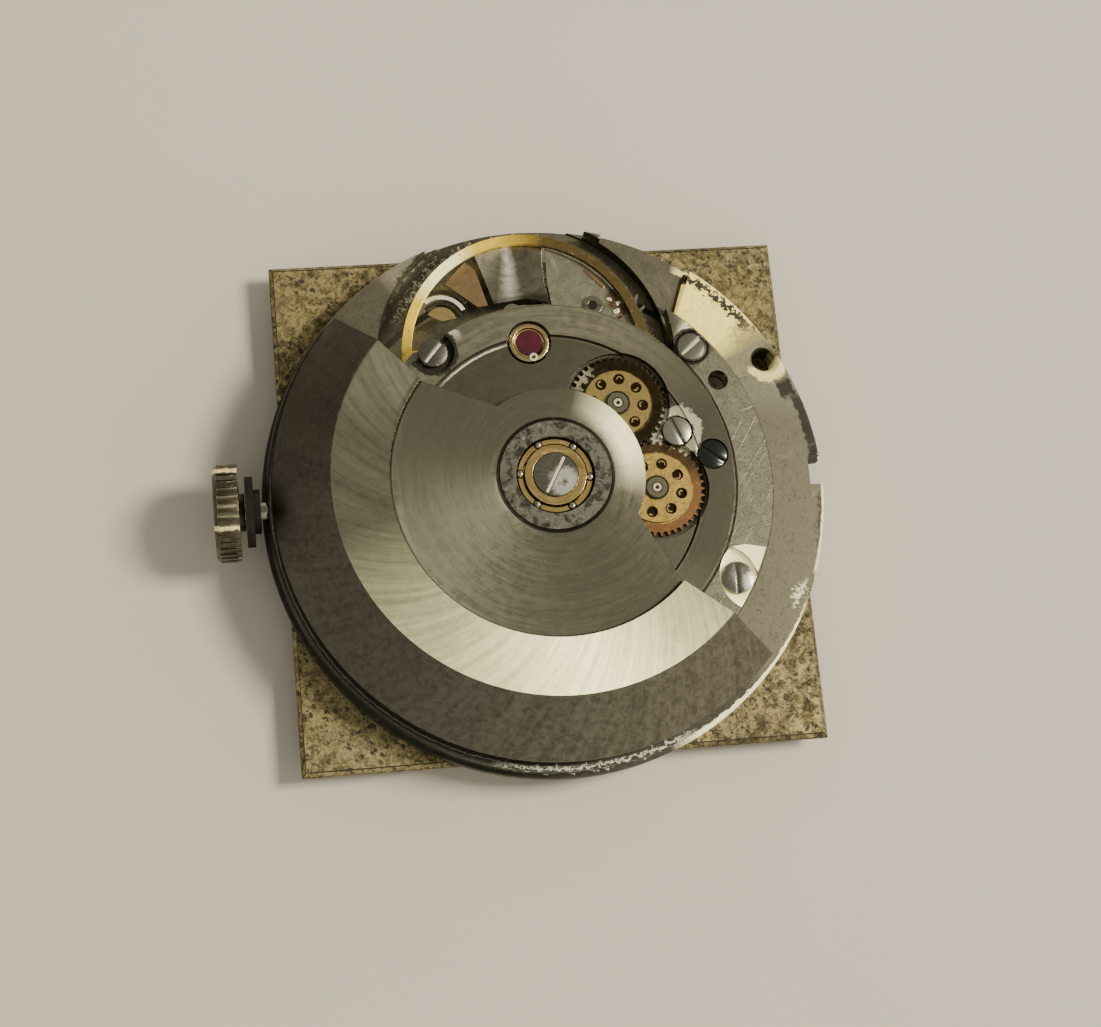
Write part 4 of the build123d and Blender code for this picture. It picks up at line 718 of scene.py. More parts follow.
@dataclass(frozen=True)
class Matte(Surface):
    """A non-metal surface: the seal's rubber or the studio floor.

    Attributes:
        colour: Its colour.
        other: A second colour, in clouds.
        scale: Clouds per millimetre.
        rough: Its roughness.
        height: Depth of its fine bumps.
        specular: How much it mirrors.
    """

    colour: Colour
    other: Colour
    scale: float
    rough: float
    height: float = 0.003
    specular: float = 0.5

    def fill(self, kit: Nodes, shader: bpy.types.Node, place: Socket) -> None:
        """Sets the shader's inputs.

        Args:
            kit: Helper of the material's tree.
            shader: The shader.
            place: Place in millimetres.
        """
        cloud = kit.group("mottle", Place=place, Scale=self.scale, Cover=0.5)
        fine = kit.noise(place, 24.0 * self.scale, 3.0, 0.7)
        kit.put(shader.inputs["Base Color"], kit.mix(cloud, self.colour, self.other))
        kit.put(shader.inputs["Roughness"], kit.plus(kit.times(fine, 0.2), self.rough - 0.1))
        shader.inputs["Specular IOR Level"].default_value = self.specular
        kit.bump(shader, fine, 0.5, self.height)


AXIS: Point = (0.0, 0.0)
REVERSER_A: Point = (3.26, 3.4)
REVERSER_B: Point = (4.64, -0.65)
TRAIN_SCREW: Point = (7.13, 6.23)
LEFT_SCREW: Point = (-4.9, 6.25)
BALANCE: Point = (-0.5, 6.5)
WEDGE: Point = (5.12, 3.75)
LEAF: Point = (8.15, -4.8)
ROTOR_HEADING = 227.5
DARK: Colour = (0.012, 0.01, 0.008)
SOOT: Colour = (0.022, 0.016, 0.012)
GLINT: Colour = (1.0, 0.93, 0.58)
BARE_AND_HIGHLIGHT: Colour = (1.0, 0.88, 0.45)


def hub_zones(centre: Point) -> tuple[Zone, ...]:
    """Zones of a reverser wheel's hub: dark collar, pale tube and dark hole."""
    return (
        Zone(centre, 0.44, 0.6, DARK, 0.95, (0.03, 0.0), (0.5,)),
        Zone(centre, 0.2, 0.45, (0.22, 0.2, 0.14), 0.9, (0.03, 0.1), (0.3,)),
        Zone(centre, 0.2, 0.27, DARK, 0.95, (0.02, 0.0), (0.5,)),
        Zone(centre, 0.08, 0.2, (0.9, 0.86, 0.68), 0.95, (0.02, 0.1), (0.2, 0.5)),
        # Painted shade: the middle hole painted black.
        Zone(centre, 0.0, 0.08, DARK, 1.0, (0.02, 0.0), (0.6,)),
    )


class Finish:
    """Every finish of the movement by name."""

    DIAL = Metal(
        "tarnished_dial_brass", (0.43, 0.345, 0.155), (0.07, 0.058, 0.03), 0.9, 2.6, 0.53, rough=0.46,
        rough_grain=0.25, fineness=8, grain_share=0.9, grain_height=1.6, speck_share=0.95, speck_scale=4.2,
        speck_size=0.62, speck_cover=0.66, scratch_share=0.1, metallic=0.75, zones=(
            Zone((12, 12), 0, 6.5, (0.13, 0.105, 0.05), 0.5, (3, 4)),
            Zone((9.5, 9), 0, 2.2, (0.36, 0.26, 0.1), 0.5, (1.5, 3)),
            Zone((-9.5, 10), 0, 3.5, (0.4, 0.31, 0.13), 0.5, (2.5, 4)),
            Zone((11.5, -11.0), 0, 7, (0.12, 0.095, 0.055), 0.55, (3, 3)),
            Zone((-12.0, -11.0), 0, 6.5, (0.45, 0.38, 0.2), 0.45, (3, 3)),
        ),
    )
    PLATE = Metal(
        "nickel_plate_satin", (0.228, 0.21, 0.152), (0.12, 0.107, 0.073), 0.55, 2.4, 0.5, rough=0.3,
        fineness=9, grain_share=0.5, grain_height=0.6, speck_share=0.6, speck_scale=3, speck_size=0.3,
        scratch_share=0.07, scratch_amount=0.4, zones=(
            # Painted highlight: the polished wedge lit bright yellow and glowing.
            Zone(WEDGE, 4, 8, (1, 0.8, 0.2), 0.97, (0.1, 0), (0.4, 0.1), (42, 28.2, 0.3), 0.6),
            Zone(WEDGE, 4, 8, (0.28, 0.26, 0.19), 0.95, (0.1, 0.3), (0.35, 0.8), (15, 26, 14)),
            Zone(WEDGE, 4, 8, (0.06, 0.05, 0.03), 0.9, (0.1, 0), (0.5, 0.8), (71, 0.8, 0.3)),
            Zone(AXIS, 12.25, 12.62, (0.02, 0.016, 0.01), 1, (0.04, 1.5), (0.6, 0.2), (45, 10.5, 1)),
            # Painted highlights: a glowing glint on the rim's edge, and a glowing bright patch round the rim
            # hole.
            Zone(AXIS, 12.64, 13.2, (1, 0.88, 0.4), 0.92, (0.04, 0.4), (0.3, 0.15), (46, 11.5, 2), 0.25),
            Zone((10.8, 5.5), 0, 1, (1, 0.86, 0.35), 0.95, (0.1, 0.7), (0.3, 0.1), (290, 105, 15), 0.2),
            Zone(AXIS, 11.9, 12.7, SOOT, 0.95, (0.06, 0.5), (0.6, 0.6), (20, 3.4, 2)),
            Zone(AXIS, 12.3, 13.2, SOOT, 0.93, (0.06, 0.5), (0.6, 0.6), (10, 9, 2)),
            Zone(AXIS, 12.5, 13.2, (0.06, 0.05, 0.036), 0.85, (0.06, 1), (0.6, 0.6), (350, 8, 3)),
            Zone(AXIS, 11.9, 12.72, (0.09, 0.08, 0.055), 0.85, (0.08, 1.8), (0.5, 0.7), (105, 24, 6)),
            Zone(AXIS, 10, 12.9, (0.155, 0.142, 0.1), 0.85, (0.05, 0.1), (0.4, 0.8), (129.5, 5.4, 0.4)),
            Zone(AXIS, 10, 12.9, (0.42, 0.39, 0.28), 0.7, (0.05, 0.6), (0.35, 0.6), (118, 6.2, 3)),
            # Painted shade: the rim's outer edge darker towards the lower left.
            Zone(AXIS, 12.3, 13.4, (0.04, 0.036, 0.03), 0.85, (0.06, 0.5), (0.5, 0.8), (225, 92, 8)),
            Zone((0.12, 0.21), 10, 10.36, (0.03, 0.026, 0.02), 0.93, (0.05, 0.06), (0.6,)),
            Zone((9.9, 6.95), 0, 0.75, (0.3, 0.24, 0.11), 0.6, (0.35, 1.6), (0.4, 0.5)),
            # Painted glints: bright lines, chips and dashes along the rim's edge on the right and lower side,
            # most of them glowing.
            Zone(AXIS, 12.66, 13.4, GLINT, 0.92, (0.03, 0.15), (0.25, 0.2), (350, 12, 2), 0.25),
            Zone(AXIS, 12.15, 12.5, GLINT, 0.9, (0.04, 2.4), (0.25, 0.3), (333, 2.8, 0.6), 0.3),
            Zone(AXIS, 12.76, 13.4, GLINT, 0.96, (0.04, 0.4), (0.25, 0.1), (313, 22, 6), 0.45),
            Zone(AXIS, 12.62, 12.74, (0.9, 0.88, 0.7), 0.85, (0.03, 0.9), (0.25, 0.3), (275, 22, 6), 0.15),
            Zone(AXIS, 12.56, 12.63, (0.5, 0.47, 0.36), 0.7, (0.02, 0.2), (0.3, 0.8), (225, 60, 20)),
            # Painted shade: the rim hole painted nearly black.
            Zone((10.67, 5.74), 0, 0.58, (0.008, 0.007, 0.005), 1, (0.03, 0), (0.7, 0.2)),
            Zone(BALANCE, 5.75, 6.9, (0.05, 0.043, 0.03), 0.85, (0.1, 1.2), (0.5, 0.8), (130, 42, 10)),
            # Painted highlight: bright glowing flecks on the balance opening's edge, upper left.
            Zone(BALANCE, 6.1, 6.22, (0.85, 0.8, 0.58), 0.8, (0.05, 2.6), (0.25, 0.4), (118, 44, 12), 0.08),
            Zone(BALANCE, 0, 6.1, (0.36, 0.33, 0.24), 0.6, (0.2, 1.4), (0.34, 0.8), (40, 60, 20)),
        ),
    )
    BRIDGE = Metal(
        "nickel_bridge_fine", (0.335, 0.312, 0.235), (0.2, 0.182, 0.132), 0.4, 2, 0.45, rough=0.27,
        fineness=10, grain_share=0.3, scratch_share=0.2, scratch_amount=0.45,
        scratch_colour=(0.95, 0.93, 0.82), zones=(
            # Painted shadow: a dark line beside the automatic bridge's outer edge.
            Zone((0.14, 0.25), 8, 8.52, DARK, 0.95, (0.05, 0.05), (0.6,)),
            # Painted shadow: a dark ring round the head of the train bridge's screw.
            Zone(TRAIN_SCREW, 0.72, 0.92, DARK, 0.9, (0.05, 0.1), (0.6,)),
            # Painted highlight: the leaf corner lit bright yellow and glowing.
            Zone(LEAF, 0, 2.2, BARE_AND_HIGHLIGHT, 0.95, (0.1, 0.3), (0.35, 0.05), glow=0.65, under=2.95, flat=True),
            Zone((9.02, 2.95), 0, 0.75, (0.9, 0.88, 0.74), 0.8, (0.02, 0), (0.3, 0.3), (18, 2.2, 1)),
            Zone((9.3, 0.6), 0, 0.6, (0.9, 0.88, 0.74), 0.6, (0.02, 0), (0.3, 0.3), (170, 2, 1)),
        ),
    )
    COCK = Metal(
        "nickel_cock", (0.3, 0.275, 0.2), (0.12, 0.105, 0.065), 0.4, 0.8, rough=0.28, fineness=7,
        scratch_share=0.2,
    )
    AUTO = Metal(
        "nickel_automatic_bridge", (0.35, 0.325, 0.24), (0.2, 0.182, 0.125), 0.5, 2.2, 0.5, rough=0.27,
        grain=Grain.TURNED, fineness=6, run=2.4, grain_share=0.28, scratch_share=0.06, scratch_amount=0.3,
        zones=(
            # Painted shade: the automatic ring darker on its right side.
            Zone(AXIS, 6.7, 8.4, (0.1, 0.092, 0.07), 0.8, (0.2, 0.3), (0.3, 1), (355, 75, 50)),
            Zone(AXIS, 0, 6.72, (0.085, 0.08, 0.06), 0.8, (0.06, 0), (0.36,)),
            # Painted highlight: a thin bright line on the ring's inner edge towards the upper left.
            Zone(AXIS, 6.56, 6.68, (0.97, 0.93, 0.75), 0.9, (0.03, 0.1), (0.3, 0.3), (118, 20, 10)),
            Zone(AXIS, 6.7, 6.84, DARK, 0.9, (0.03, 0), (0.6,)),
            # Painted shade: the bridge darkened under the two reverser wheels.
            Zone(REVERSER_A, 0, 2.3, (0.04, 0.034, 0.024), 0.9, (0.05, 0), (0.5,)),
            Zone(REVERSER_B, 0, 2.3, (0.04, 0.034, 0.024), 0.9, (0.05, 0), (0.5,)),
            # Painted shade round the left screw's head, and a glowing painted highlight on the strip beside
            # it.
            Zone(LEFT_SCREW, 0, 1.15, (0.03, 0.027, 0.02), 0.95, (0.06, 0.4), (0.5,)),
            Zone(LEFT_SCREW, 1.15, 1.5, (1, 0.97, 0.8), 0.85, (0.04, 0.5), (0.25, 0.4), (100, 80, 30), 0.1),
            Zone((5.83, 1.92), 0.7, 1.2, (0.75, 0.7, 0.5), 0.8, (0.06, 0.8), (0.3, 0.5)),
        ),
    )
    LOWER_AUTO = Metal("brass_lower_bridge", (0.45, 0.38, 0.22), rough=0.4)
    ROTOR_WEIGHT = Metal(
        "rotor_turned_cone", (0.145, 0.132, 0.1), (0.1, 0.09, 0.066), 0.5, 3.2, rough=0.36,
        grain=Grain.TURNED, fineness=2.6, run=2.6, sweep=13.6, seam=ROTOR_HEADING, lean=78, grain_share=0.6,
        grain_height=0.8, anisotropy=0.85, speck_share=0.2, speck_scale=4, speck_size=0.2,
        scratch_share=0.02, grained=Zone(AXIS, 7.3, 9.94, DARK, 0.55, (0.05, 0)), zones=(
            Zone(AXIS, 7.36, 9.94, (0.4, 0.372, 0.275), 0.97, (0.02, 0), (0.3,)),
            # Painted highlight: the turned ring lit bright and glowing towards the bottom.
            Zone(AXIS, 7.36, 9.94, (1, 0.93, 0.5), 0.92, (0.02, 0), (0.34, 0.45), (272, 80, 58), 0.36),
            # Painted highlight: the ring lighter towards the upper left.
            Zone(AXIS, 7.5, 9.9, (0.6, 0.55, 0.4), 0.45, (0.05, 0), (0.34, 0.8), (142, 22, 18)),
            # Painted shade: the cone darker towards the upper left.
            Zone(AXIS, 9.94, 13, (0.035, 0.03, 0.025), 0.75, (0.05, 0.3), (0.4, 1), (145, 50, 35)),
        ),
    )
    ROTOR_PLATE = Metal(
        "rotor_plate_satin", (0.3, 0.278, 0.208), (0.18, 0.165, 0.118), 0.45, 2.2, rough=0.27,
        grain=Grain.TURNED, fineness=7, run=2.6, lean=-41.0, grain_share=0.28, anisotropy=0.6,
        scratch_share=0.04, zones=(
            # Painted shade: the plate darker on its left side.
            Zone(AXIS, 2.7, 7.2, (0.19, 0.176, 0.13), 0.55, (0.3, 0.1), (0.3, 1), (185, 60, 40)),
            Zone(AXIS, 7.22, 7.5, (0.035, 0.03, 0.022), 0.95, (0.05, 0.03), (0.5,)),
            Zone(AXIS, 2.4, 2.68, DARK, 0.95, (0.04, 0.03), (0.5,)),
            # Painted highlight: the neck lit bright and glowing on its right side.
            Zone(AXIS, 2.7, 4.6, (1, 0.9, 0.52), 0.95, (0.6, 0.3), (0.3, 0.1), (27, 46, 36), 0.8),
        ),
    )
    BEARING_RING = Metal(
        "bearing_ring_mottled", (0.62, 0.6, 0.5), (0.05, 0.045, 0.034), 0.97, 2.4, 0.56, rough=0.16,
        fineness=9, grain_share=0.45, grain_height=0.1, speck_share=0.8, speck_scale=4, speck_size=0.35,
        scratch_share=0.1, zones=(Zone(AXIS, 0, 1.75, DARK, 0.9, (0.04, 0.02), (0.5,)),),
    )
    STEEL = Metal(
        "polished_steel", (0.42, 0.4, 0.33), (0.14, 0.13, 0.1), 0.35, 1.6, rough=0.18, fineness=9,
        grain_share=0.12, grain_height=0.06, scratch_share=0.15,
    )
    SCREW = Metal(
        "screw_steel", (0.34, 0.33, 0.28), (0.08, 0.078, 0.07), 0.6, 1.8, rough=0.2, rough_grain=0.08,
        fineness=8, grain_share=0.2, grain_height=0.06, scratch_share=0.15, zones=(
            Zone(TRAIN_SCREW, 0, 0.62, (0.28, 0.265, 0.2), 0.8, (0.05, 0.2), (0.25, 0.8)),
            # Painted shadow: the rim of the train bridge screw's head darkened.
            Zone(TRAIN_SCREW, 0.6, 0.9, (0.03, 0.026, 0.02), 0.95, (0.04, 0.05), (0.4,)),
        ),
    )
    AUTO_SCREW = Metal(
        "screw_steel_dark", (0.26, 0.25, 0.21), (0.08, 0.078, 0.07), 0.5, 1.6, rough=0.22, rough_grain=0.08,
        fineness=8, grain_share=0.2, grain_height=0.06, scratch_share=0.15, zones=(
            Zone((7.34, 0.74), 0, 0.75, (0.07, 0.08, 0.082), 0.95, (0.03, 0), (0.16,)),
            Zone((5.83, 1.92), 0, 0.7, (0.5, 0.48, 0.4), 0.7, (0.05, 0), (0.25, 0.9)),
        ),
    )
    BEARING_SCREW = Metal(
        "bearing_screw_steel", (0.3, 0.285, 0.23), (0.07, 0.065, 0.055), 0.6, 1.4, rough=0.16, fineness=8,
        grain_share=0.2, grain_height=0.06, scratch_share=0.1, zones=(
            # Painted highlight: the screw head lit bright towards the lower right.
            Zone((0.35, -0.35), 0, 0.75, (0.8, 0.78, 0.68), 0.85, (0.25, 0.8), (0.2, 0.6)),
        ),
    )
    CROWN = Metal(
        "worn_crown_chrome", (0.115, 0.1, 0.066), (0.04, 0.034, 0.02), 0.7, 1.4, 0.5, rough=0.3, fineness=5,
        grain_share=0.35, speck_share=0.6, speck_scale=3, speck_size=0.35, scratch_share=0.1, zones=(
            # Painted highlights: two glowing bright bars across the crown's top.
            Zone((-15.8, -48.4), 49.86, 50.14, (1, 0.84, 0.42), 0.9, (0.05, 0.4), (0.2, 0.5), glow=0.2),
            Zone((-15.8, -51.1), 49.88, 50.12, (1, 0.84, 0.42), 0.9, (0.05, 0.4), (0.2, 0.5), glow=0.2),
        ),
    )
    BRASS = Metal(
        "old_brass", (0.62, 0.46, 0.2), (0.26, 0.17, 0.06), 0.45, 1.4, rough=0.28, fineness=7,
        scratch_share=0.2,
    )
    RACE = Metal(
        "bearing_race_brass", (0.85, 0.62, 0.25), (0.25, 0.15, 0.05), 0.5, 2.4, rough=0.18,
        grain=Grain.TURNED, fineness=9, run=2, scratch_share=0.1,
    )
    SETTING = Metal(
        "setting_gilt", (0.75, 0.6, 0.3), (0.2, 0.14, 0.06), 0.5, 2.4, rough=0.16, fineness=9,
        scratch_share=0.1,
    )
    GILT = Metal(
        "gilt_balance", (0.5, 0.34, 0.11), (0.13, 0.085, 0.03), 0.75, 2.6, rough=0.2, grain=Grain.TURNED,
        centre=BALANCE, fineness=8, run=2.2, scratch_share=0.1, speck_share=0.9, speck_scale=3.4,
        speck_size=0.4, speck_cover=0.56, zones=(
            Zone(BALANCE, 5, 5.9, (0.2, 0.15, 0.07), 0.8, (0.1, 0.3), (0.3, 1), (15, 75, 30)),
            # Painted highlights: the rim's yellow sheen and its white core at the upper left, both glowing.
            Zone(BALANCE, 5, 5.9, (1, 0.68, 0.06), 0.95, (0.1, 0.1), (0.2, 0.5), (133, 56, 26), 0.5),
            Zone(BALANCE, 5, 5.9, (1, 0.9, 0.42), 0.97, (0.1, 0.1), (0.3, 0.02), (131, 21, 14), 0.9),
        ),
    )
    REVERSER_DARK = Metal(
        "reverser_bronze", (0.46, 0.34, 0.13), (0.15, 0.1, 0.04), 0.55, 1.5, rough=0.3, fineness=6,
        grain_share=0.45, speck_share=0.6, speck_scale=3.5, speck_size=0.35, scratch_share=0.15, zones=(
            Zone(REVERSER_A, 1.5, 2.4, (0.018, 0.013, 0.007), 0.96, (0.06, 0.12), (0.35,)),
            # Painted glints on the teeth towards the upper left.
            Zone(REVERSER_A, 1.75, 2.4, (0.6, 0.54, 0.36), 0.8, (0.05, 1.6), (0.2, 0.6), (140, 22, 8)),
        ),
    )
    REVERSER_BRIGHT = Metal(
        "reverser_gilt", (0.72, 0.5, 0.15), (0.3, 0.18, 0.05), 0.35, 1.4, rough=0.28, fineness=6,
        grain_share=0.35, speck_share=0.5, speck_scale=3.5, speck_size=0.3, scratch_share=0.15, zones=(
            Zone(REVERSER_B, 1.62, 2.4, (0.3, 0.13, 0.07), 0.85, (0.06, 0.25), (0.3,)),
            Zone(REVERSER_B, 1.62, 2.4, (0.07, 0.05, 0.025), 0.9, (0.06, 0.25), (0.35, 1), (110, 110, 30)),
        ),
    )
    HUB_A = Metal("hub_steel_a", (0.3, 0.27, 0.2), rough=0.25, fineness=9, zones=hub_zones(REVERSER_A))
    HUB_B = Metal("hub_steel_b", (0.3, 0.27, 0.2), rough=0.25, fineness=9, zones=hub_zones(REVERSER_B))
    HAIRSPRING = Metal("hairspring_steel", (0.3, 0.32, 0.36), rough=0.2, fineness=12)
    # Near-black copper for the floors of the reverser wheels' holes: painted shade.
    HOLE_SHADE_COPPER = Metal(
        "click_copper_hole_shade", (0.035, 0.018, 0.008), (0.012, 0.008, 0.005), 0.7, 2, rough=0.3, fineness=9,
        scratch_share=0,
    )
    CLICK = Metal(
        "click_steel", (0.8, 0.62, 0.3), (0.1, 0.06, 0.03), 0.9, 3, 0.52, rough=0.22, fineness=9,
        scratch_share=0,
    )
    GILT_FLOOR = Metal(
        "gilt_floor_orange", (0.33, 0.22, 0.11), (0.13, 0.09, 0.05), 0.8, 2.2, rough=0.3, fineness=7,
        scratch_share=0.1, metallic=0.8,
    )
    SWIRLED = Metal(
        "brushed_bridge_swirls", (0.34, 0.315, 0.235), (0.16, 0.145, 0.1), 0.6, 1.6, rough=0.24,
        grain=Grain.TURNED, centre=(-0.9, 11.9), fineness=3.4, run=1.2, grain_share=1, grain_height=1.2,
        anisotropy=0.7, lean=-60.0, scratch_share=0.1, zones=(
            # Painted highlight: a bright streak down the brushed bridge, glowing a little.
            Zone((-0.95, 13.6), 1, 5, (1, 0.97, 0.84), 0.7, (0.3, 1.2), (0.25, 0.5), (270, 9, 8), 0.06),
            Zone(AXIS, 8, 9.55, (0.05, 0.045, 0.03), 0.8, (0.25, 0.3), (0.5,)),
        ),
    )
    GREY_COVER = Metal(
        "grey_cover_satin", (0.34, 0.32, 0.24), (0.2, 0.185, 0.13), 0.5, 2, rough=0.3, fineness=9,
        grain_share=0.5, scratch_share=0.2, zones=(
            Zone((4.3, 8.9), 0, 0.95, (0.1, 0.05, 0.02), 0.9, (0.3, 0.6), (0.4,)),
            Zone((2.83, 8.6), 0, 0.62, (0.12, 0.105, 0.075), 0.7, (0.12, 0.2), (0.4,)),
        ),
    )
    DULL = Metal(
        "dull_grey_bits", (0.2, 0.185, 0.14), (0.06, 0.055, 0.04), 0.6, 2, rough=0.3, fineness=8,
        grain_share=0.4, scratch_share=0.1,
    )
    # Pale metal for worn bits and crumbs, also painted highlights on the screw slots' floors.
    PALE_WEAR_AND_HIGHLIGHT = Metal(
        "pale_wear_and_highlight", (0.92, 0.88, 0.72), (0.3, 0.26, 0.16), 0.5, 2.4, 0.42, rough=0.26, fineness=8,
        grain_share=0.3, scratch_share=0, metallic=0.45,
    )
    EDGE = Metal(
        "worn_bright_edge", (0.6, 0.56, 0.44), (0.1, 0.09, 0.06), 0.85, 1.8, 0.5, rough=0.2, fineness=10,
        grain_share=0.4,
    )
    # Broken edges that are dull and worn, darkened further as painted shade along the edges.
    DARK_EDGE = Metal(
        "dull_edge_wear_and_shade", (0.09, 0.08, 0.055), (0.025, 0.022, 0.015), 0.8, 1.5, 0.5, rough=0.3, fineness=10,
        grain_share=0.3,
    )
    GILT_EDGE = Metal("gilt_edge", (0.95, 0.76, 0.4), (0.4, 0.25, 0.1), 0.5, 1.6, rough=0.14, fineness=10)
    RUBY = Stone("synthetic_ruby", (0.11, 0.004, 0.024), 0.3)
    RUBY_DOME = Stone("synthetic_ruby_dome", (0.075, 0.004, 0.016), 0)
    # Bared metal with a painted highlight: a strong glow over the leaf corner.
    BARED_AND_HIGHLIGHT = Metal(
        "bared_bridge_and_highlight", (1, 0.88, 0.45), (0.85, 0.74, 0.38), 0.3, 2, rough=0.35, fineness=8, metallic=0.05,
        scratch_share=0, zones=(Zone(LEAF, 0, 9, BARE_AND_HIGHLIGHT, 0.3, glow=2.1),),
    )
    # Dark rubber of the seal, also used for a black disc of painted shade in the cup's bore.
    SEAL = Matte("seal_rubber_and_hole_shade", (0.012, 0.0105, 0.008), (0.022, 0.019, 0.014), 1.5, 0.75, specular=0.12)
    FLOOR = Matte("studio_paper", (0.6, 0.55, 0.475), (0.58, 0.53, 0.462), 0.015, 0.9, 0.01)


@dataclass(frozen=True)
class Dress:
    """How one CAD node is dressed.

    Attributes:
        finish: Its finish.
        edge: The finish of its broken edges, which stay sharp without one.
        width: Their width.
    """

    finish: Surface
    edge: Metal | None = None
    width: float = 0.02


DRESSES: dict[str, Dress] = {
    "dial_plate": Dress(Finish.DIAL, Finish.DARK_EDGE, 0.03),
    "main_plate": Dress(Finish.PLATE, Finish.EDGE, 0.03),
    "barrel_bridge": Dress(Finish.BRIDGE, Finish.DARK_EDGE, 0.03),
    "train_bridge": Dress(Finish.BRIDGE, Finish.EDGE, 0.03),
    "balance_cock": Dress(Finish.COCK, Finish.EDGE, 0.03),
    "regulator": Dress(Finish.STEEL, Finish.EDGE, 0.01),
    "shock_settings": Dress(Finish.SETTING, Finish.GILT_EDGE, 0.02),
    "pallet_bridge": Dress(Finish.COCK, Finish.EDGE, 0.015),
    "auto_upper_bridge": Dress(Finish.AUTO, Finish.DARK_EDGE, 0.03),
    "bridge_screws": Dress(Finish.SCREW, Finish.EDGE, 0.02),
    "auto_bridge_screws": Dress(Finish.AUTO_SCREW, Finish.DARK_EDGE, 0.018),
    "small_screws": Dress(Finish.SCREW, Finish.EDGE, 0.012),
    "bearing_race": Dress(Finish.RACE, Finish.GILT_EDGE, 0.015),
    "bearing_screw": Dress(Finish.BEARING_SCREW, Finish.DARK_EDGE, 0.02),
    "rotor_weight": Dress(Finish.ROTOR_WEIGHT, Finish.DARK_EDGE, 0.03),
    "rotor_plate": Dress(Finish.ROTOR_PLATE, Finish.DARK_EDGE, 0.02),
    "bearing_outer_ring": Dress(Finish.BEARING_RING, Finish.DARK_EDGE, 0.012),
    "reverser_wheel_a": Dress(Finish.REVERSER_DARK, Finish.DARK_EDGE, 0.01),
    "reverser_wheel_b": Dress(Finish.REVERSER_BRIGHT, Finish.DARK_EDGE, 0.01),
    "balance_wheel": Dress(Finish.GILT, Finish.GILT, 0.02),
    "crown": Dress(Finish.CROWN, Finish.EDGE, 0.02),
}
INNER: tuple[tuple[Surface, str], ...] = (
    (Finish.RUBY, "cap_jewels train_jewels"),
    (Finish.GILT_EDGE, "shock_springs"),
    (Finish.HAIRSPRING, "hairspring mainspring"),
    (Finish.LOWER_AUTO, "auto_lower_bridge"),
    (
        Finish.STEEL,
        "setting_lever_spring click_spring bearing_balls barrel_arbor ratchet_wheel "
        "escape_wheel pallet_fork balance_staff cannon_pinion setting_wheel stem "
        "winding_pinion sliding_clutch crown_wheel click setting_lever yoke",
    ),
    (Finish.RACE, "bearing_cage"),
    (Finish.HUB_A, "reverser_pinion_a"),
    (Finish.HUB_B, "reverser_pinion_b"),
    (
        Finish.BRASS,
        "reduction_wheel ratchet_driver barrel_drum barrel_cover centre_wheel "
        "third_wheel fourth_wheel minute_wheel hour_wheel",
    ),
    (Finish.SCREW, "ratchet_screw"),
    (Finish.SEAL, "stem_seal"),
)
DRESSES |= {name: Dress(finish) for finish, names in INNER for name in names.split()}


WELD_REACH = 0.0005
FLAT_DEGREES = 0.4
EDGE_DEGREES = 35
NORMAL_WEIGHT = 60


def dress_node(name: str, dress: Dress) -> None:
    """Gives a CAD node its materials and breaks its sharp edges with modifiers.

    Args:
        name: The node.
        dress: Its finish.
    """
    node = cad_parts[name]
    node.data.materials.clear()
    node.data.materials.append(dress.finish.build())
    LOG.info("dressed %s as %s", name, dress.finish.name)
    if dress.edge is None:
        return
    node.data.materials.append(dress.edge.build())
    weld = node.modifiers.new("join", "WELD")
    weld.merge_threshold = WELD_REACH * MM
    flat = node.modifiers.new("flat_faces", "DECIMATE")
    flat.decimate_type = "DISSOLVE"
    flat.angle_limit = math.radians(FLAT_DEGREES)
    broken = node.modifiers.new("broken_edges", "BEVEL")
    broken.width = dress.width * MM
    broken.segments = 2
    broken.limit_method = "ANGLE"
    broken.angle_limit = math.radians(EDGE_DEGREES)
    broken.material = 1
    shade = node.modifiers.new("even_shading", "WEIGHTED_NORMAL")
    shade.keep_sharp = False
    shade.weight = NORMAL_WEIGHT


def mesh_piece(
    name: str, body: str, finish: Surface, shape: bmesh.types.BMesh
) -> bpy.types.Object:
    """Turns a bmesh in millimetres into a piece that rides on a body.

    Args:
        name: The piece's name.
        body: The CAD body that it moves with.
        finish: Its finish.
        shape: The mesh, freed here.

    Returns:
        The new object.
    """
    bmesh.ops.recalc_face_normals(shape, faces=shape.faces)
    mesh = bpy.data.meshes.new(name)
    shape.to_mesh(mesh)
    shape.free()
    mesh.transform(Matrix.Scale(MM, 4))
    mesh.materials.append(finish.build())
    piece = bpy.data.objects.new(name, mesh)
    bpy.context.scene.collection.objects.link(piece)
    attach(piece, body)
    LOG.info("made %s on %s", name, body)
    return piece


def prism(shape: bmesh.types.BMesh, outline: list[Point], low: float, high: float) -> None:
    """Adds an upright prism to a bmesh.

    Args:
        shape: The bmesh.
        outline: Corner points in order.
        low: Height of its foot.
        high: Height of its top.
    """
    foot = [shape.verts.new((x, y, low)) for x, y in outline]
    top = [shape.verts.new((x, y, high)) for x, y in outline]
    shape.faces.new(foot)
    shape.faces.new(top)
    for index, corner in enumerate(foot):
        after = (index + 1) % len(foot)
        shape.faces.new((corner, foot[after], top[after], top[index]))


def polar(radius: float, angle: float, centre: Point = AXIS) -> Point:
    """Point at a radius and an angle in degrees from a centre."""
    turn = math.radians(angle)
    return centre[0] + radius * math.cos(turn), centre[1] + radius * math.sin(turn)


def disc(radius: float, centre: Point, corners: int = 24) -> list[Point]:
    """Outline of a disc."""
    return [polar(radius, 360 * corner / corners, centre) for corner in range(corners)]


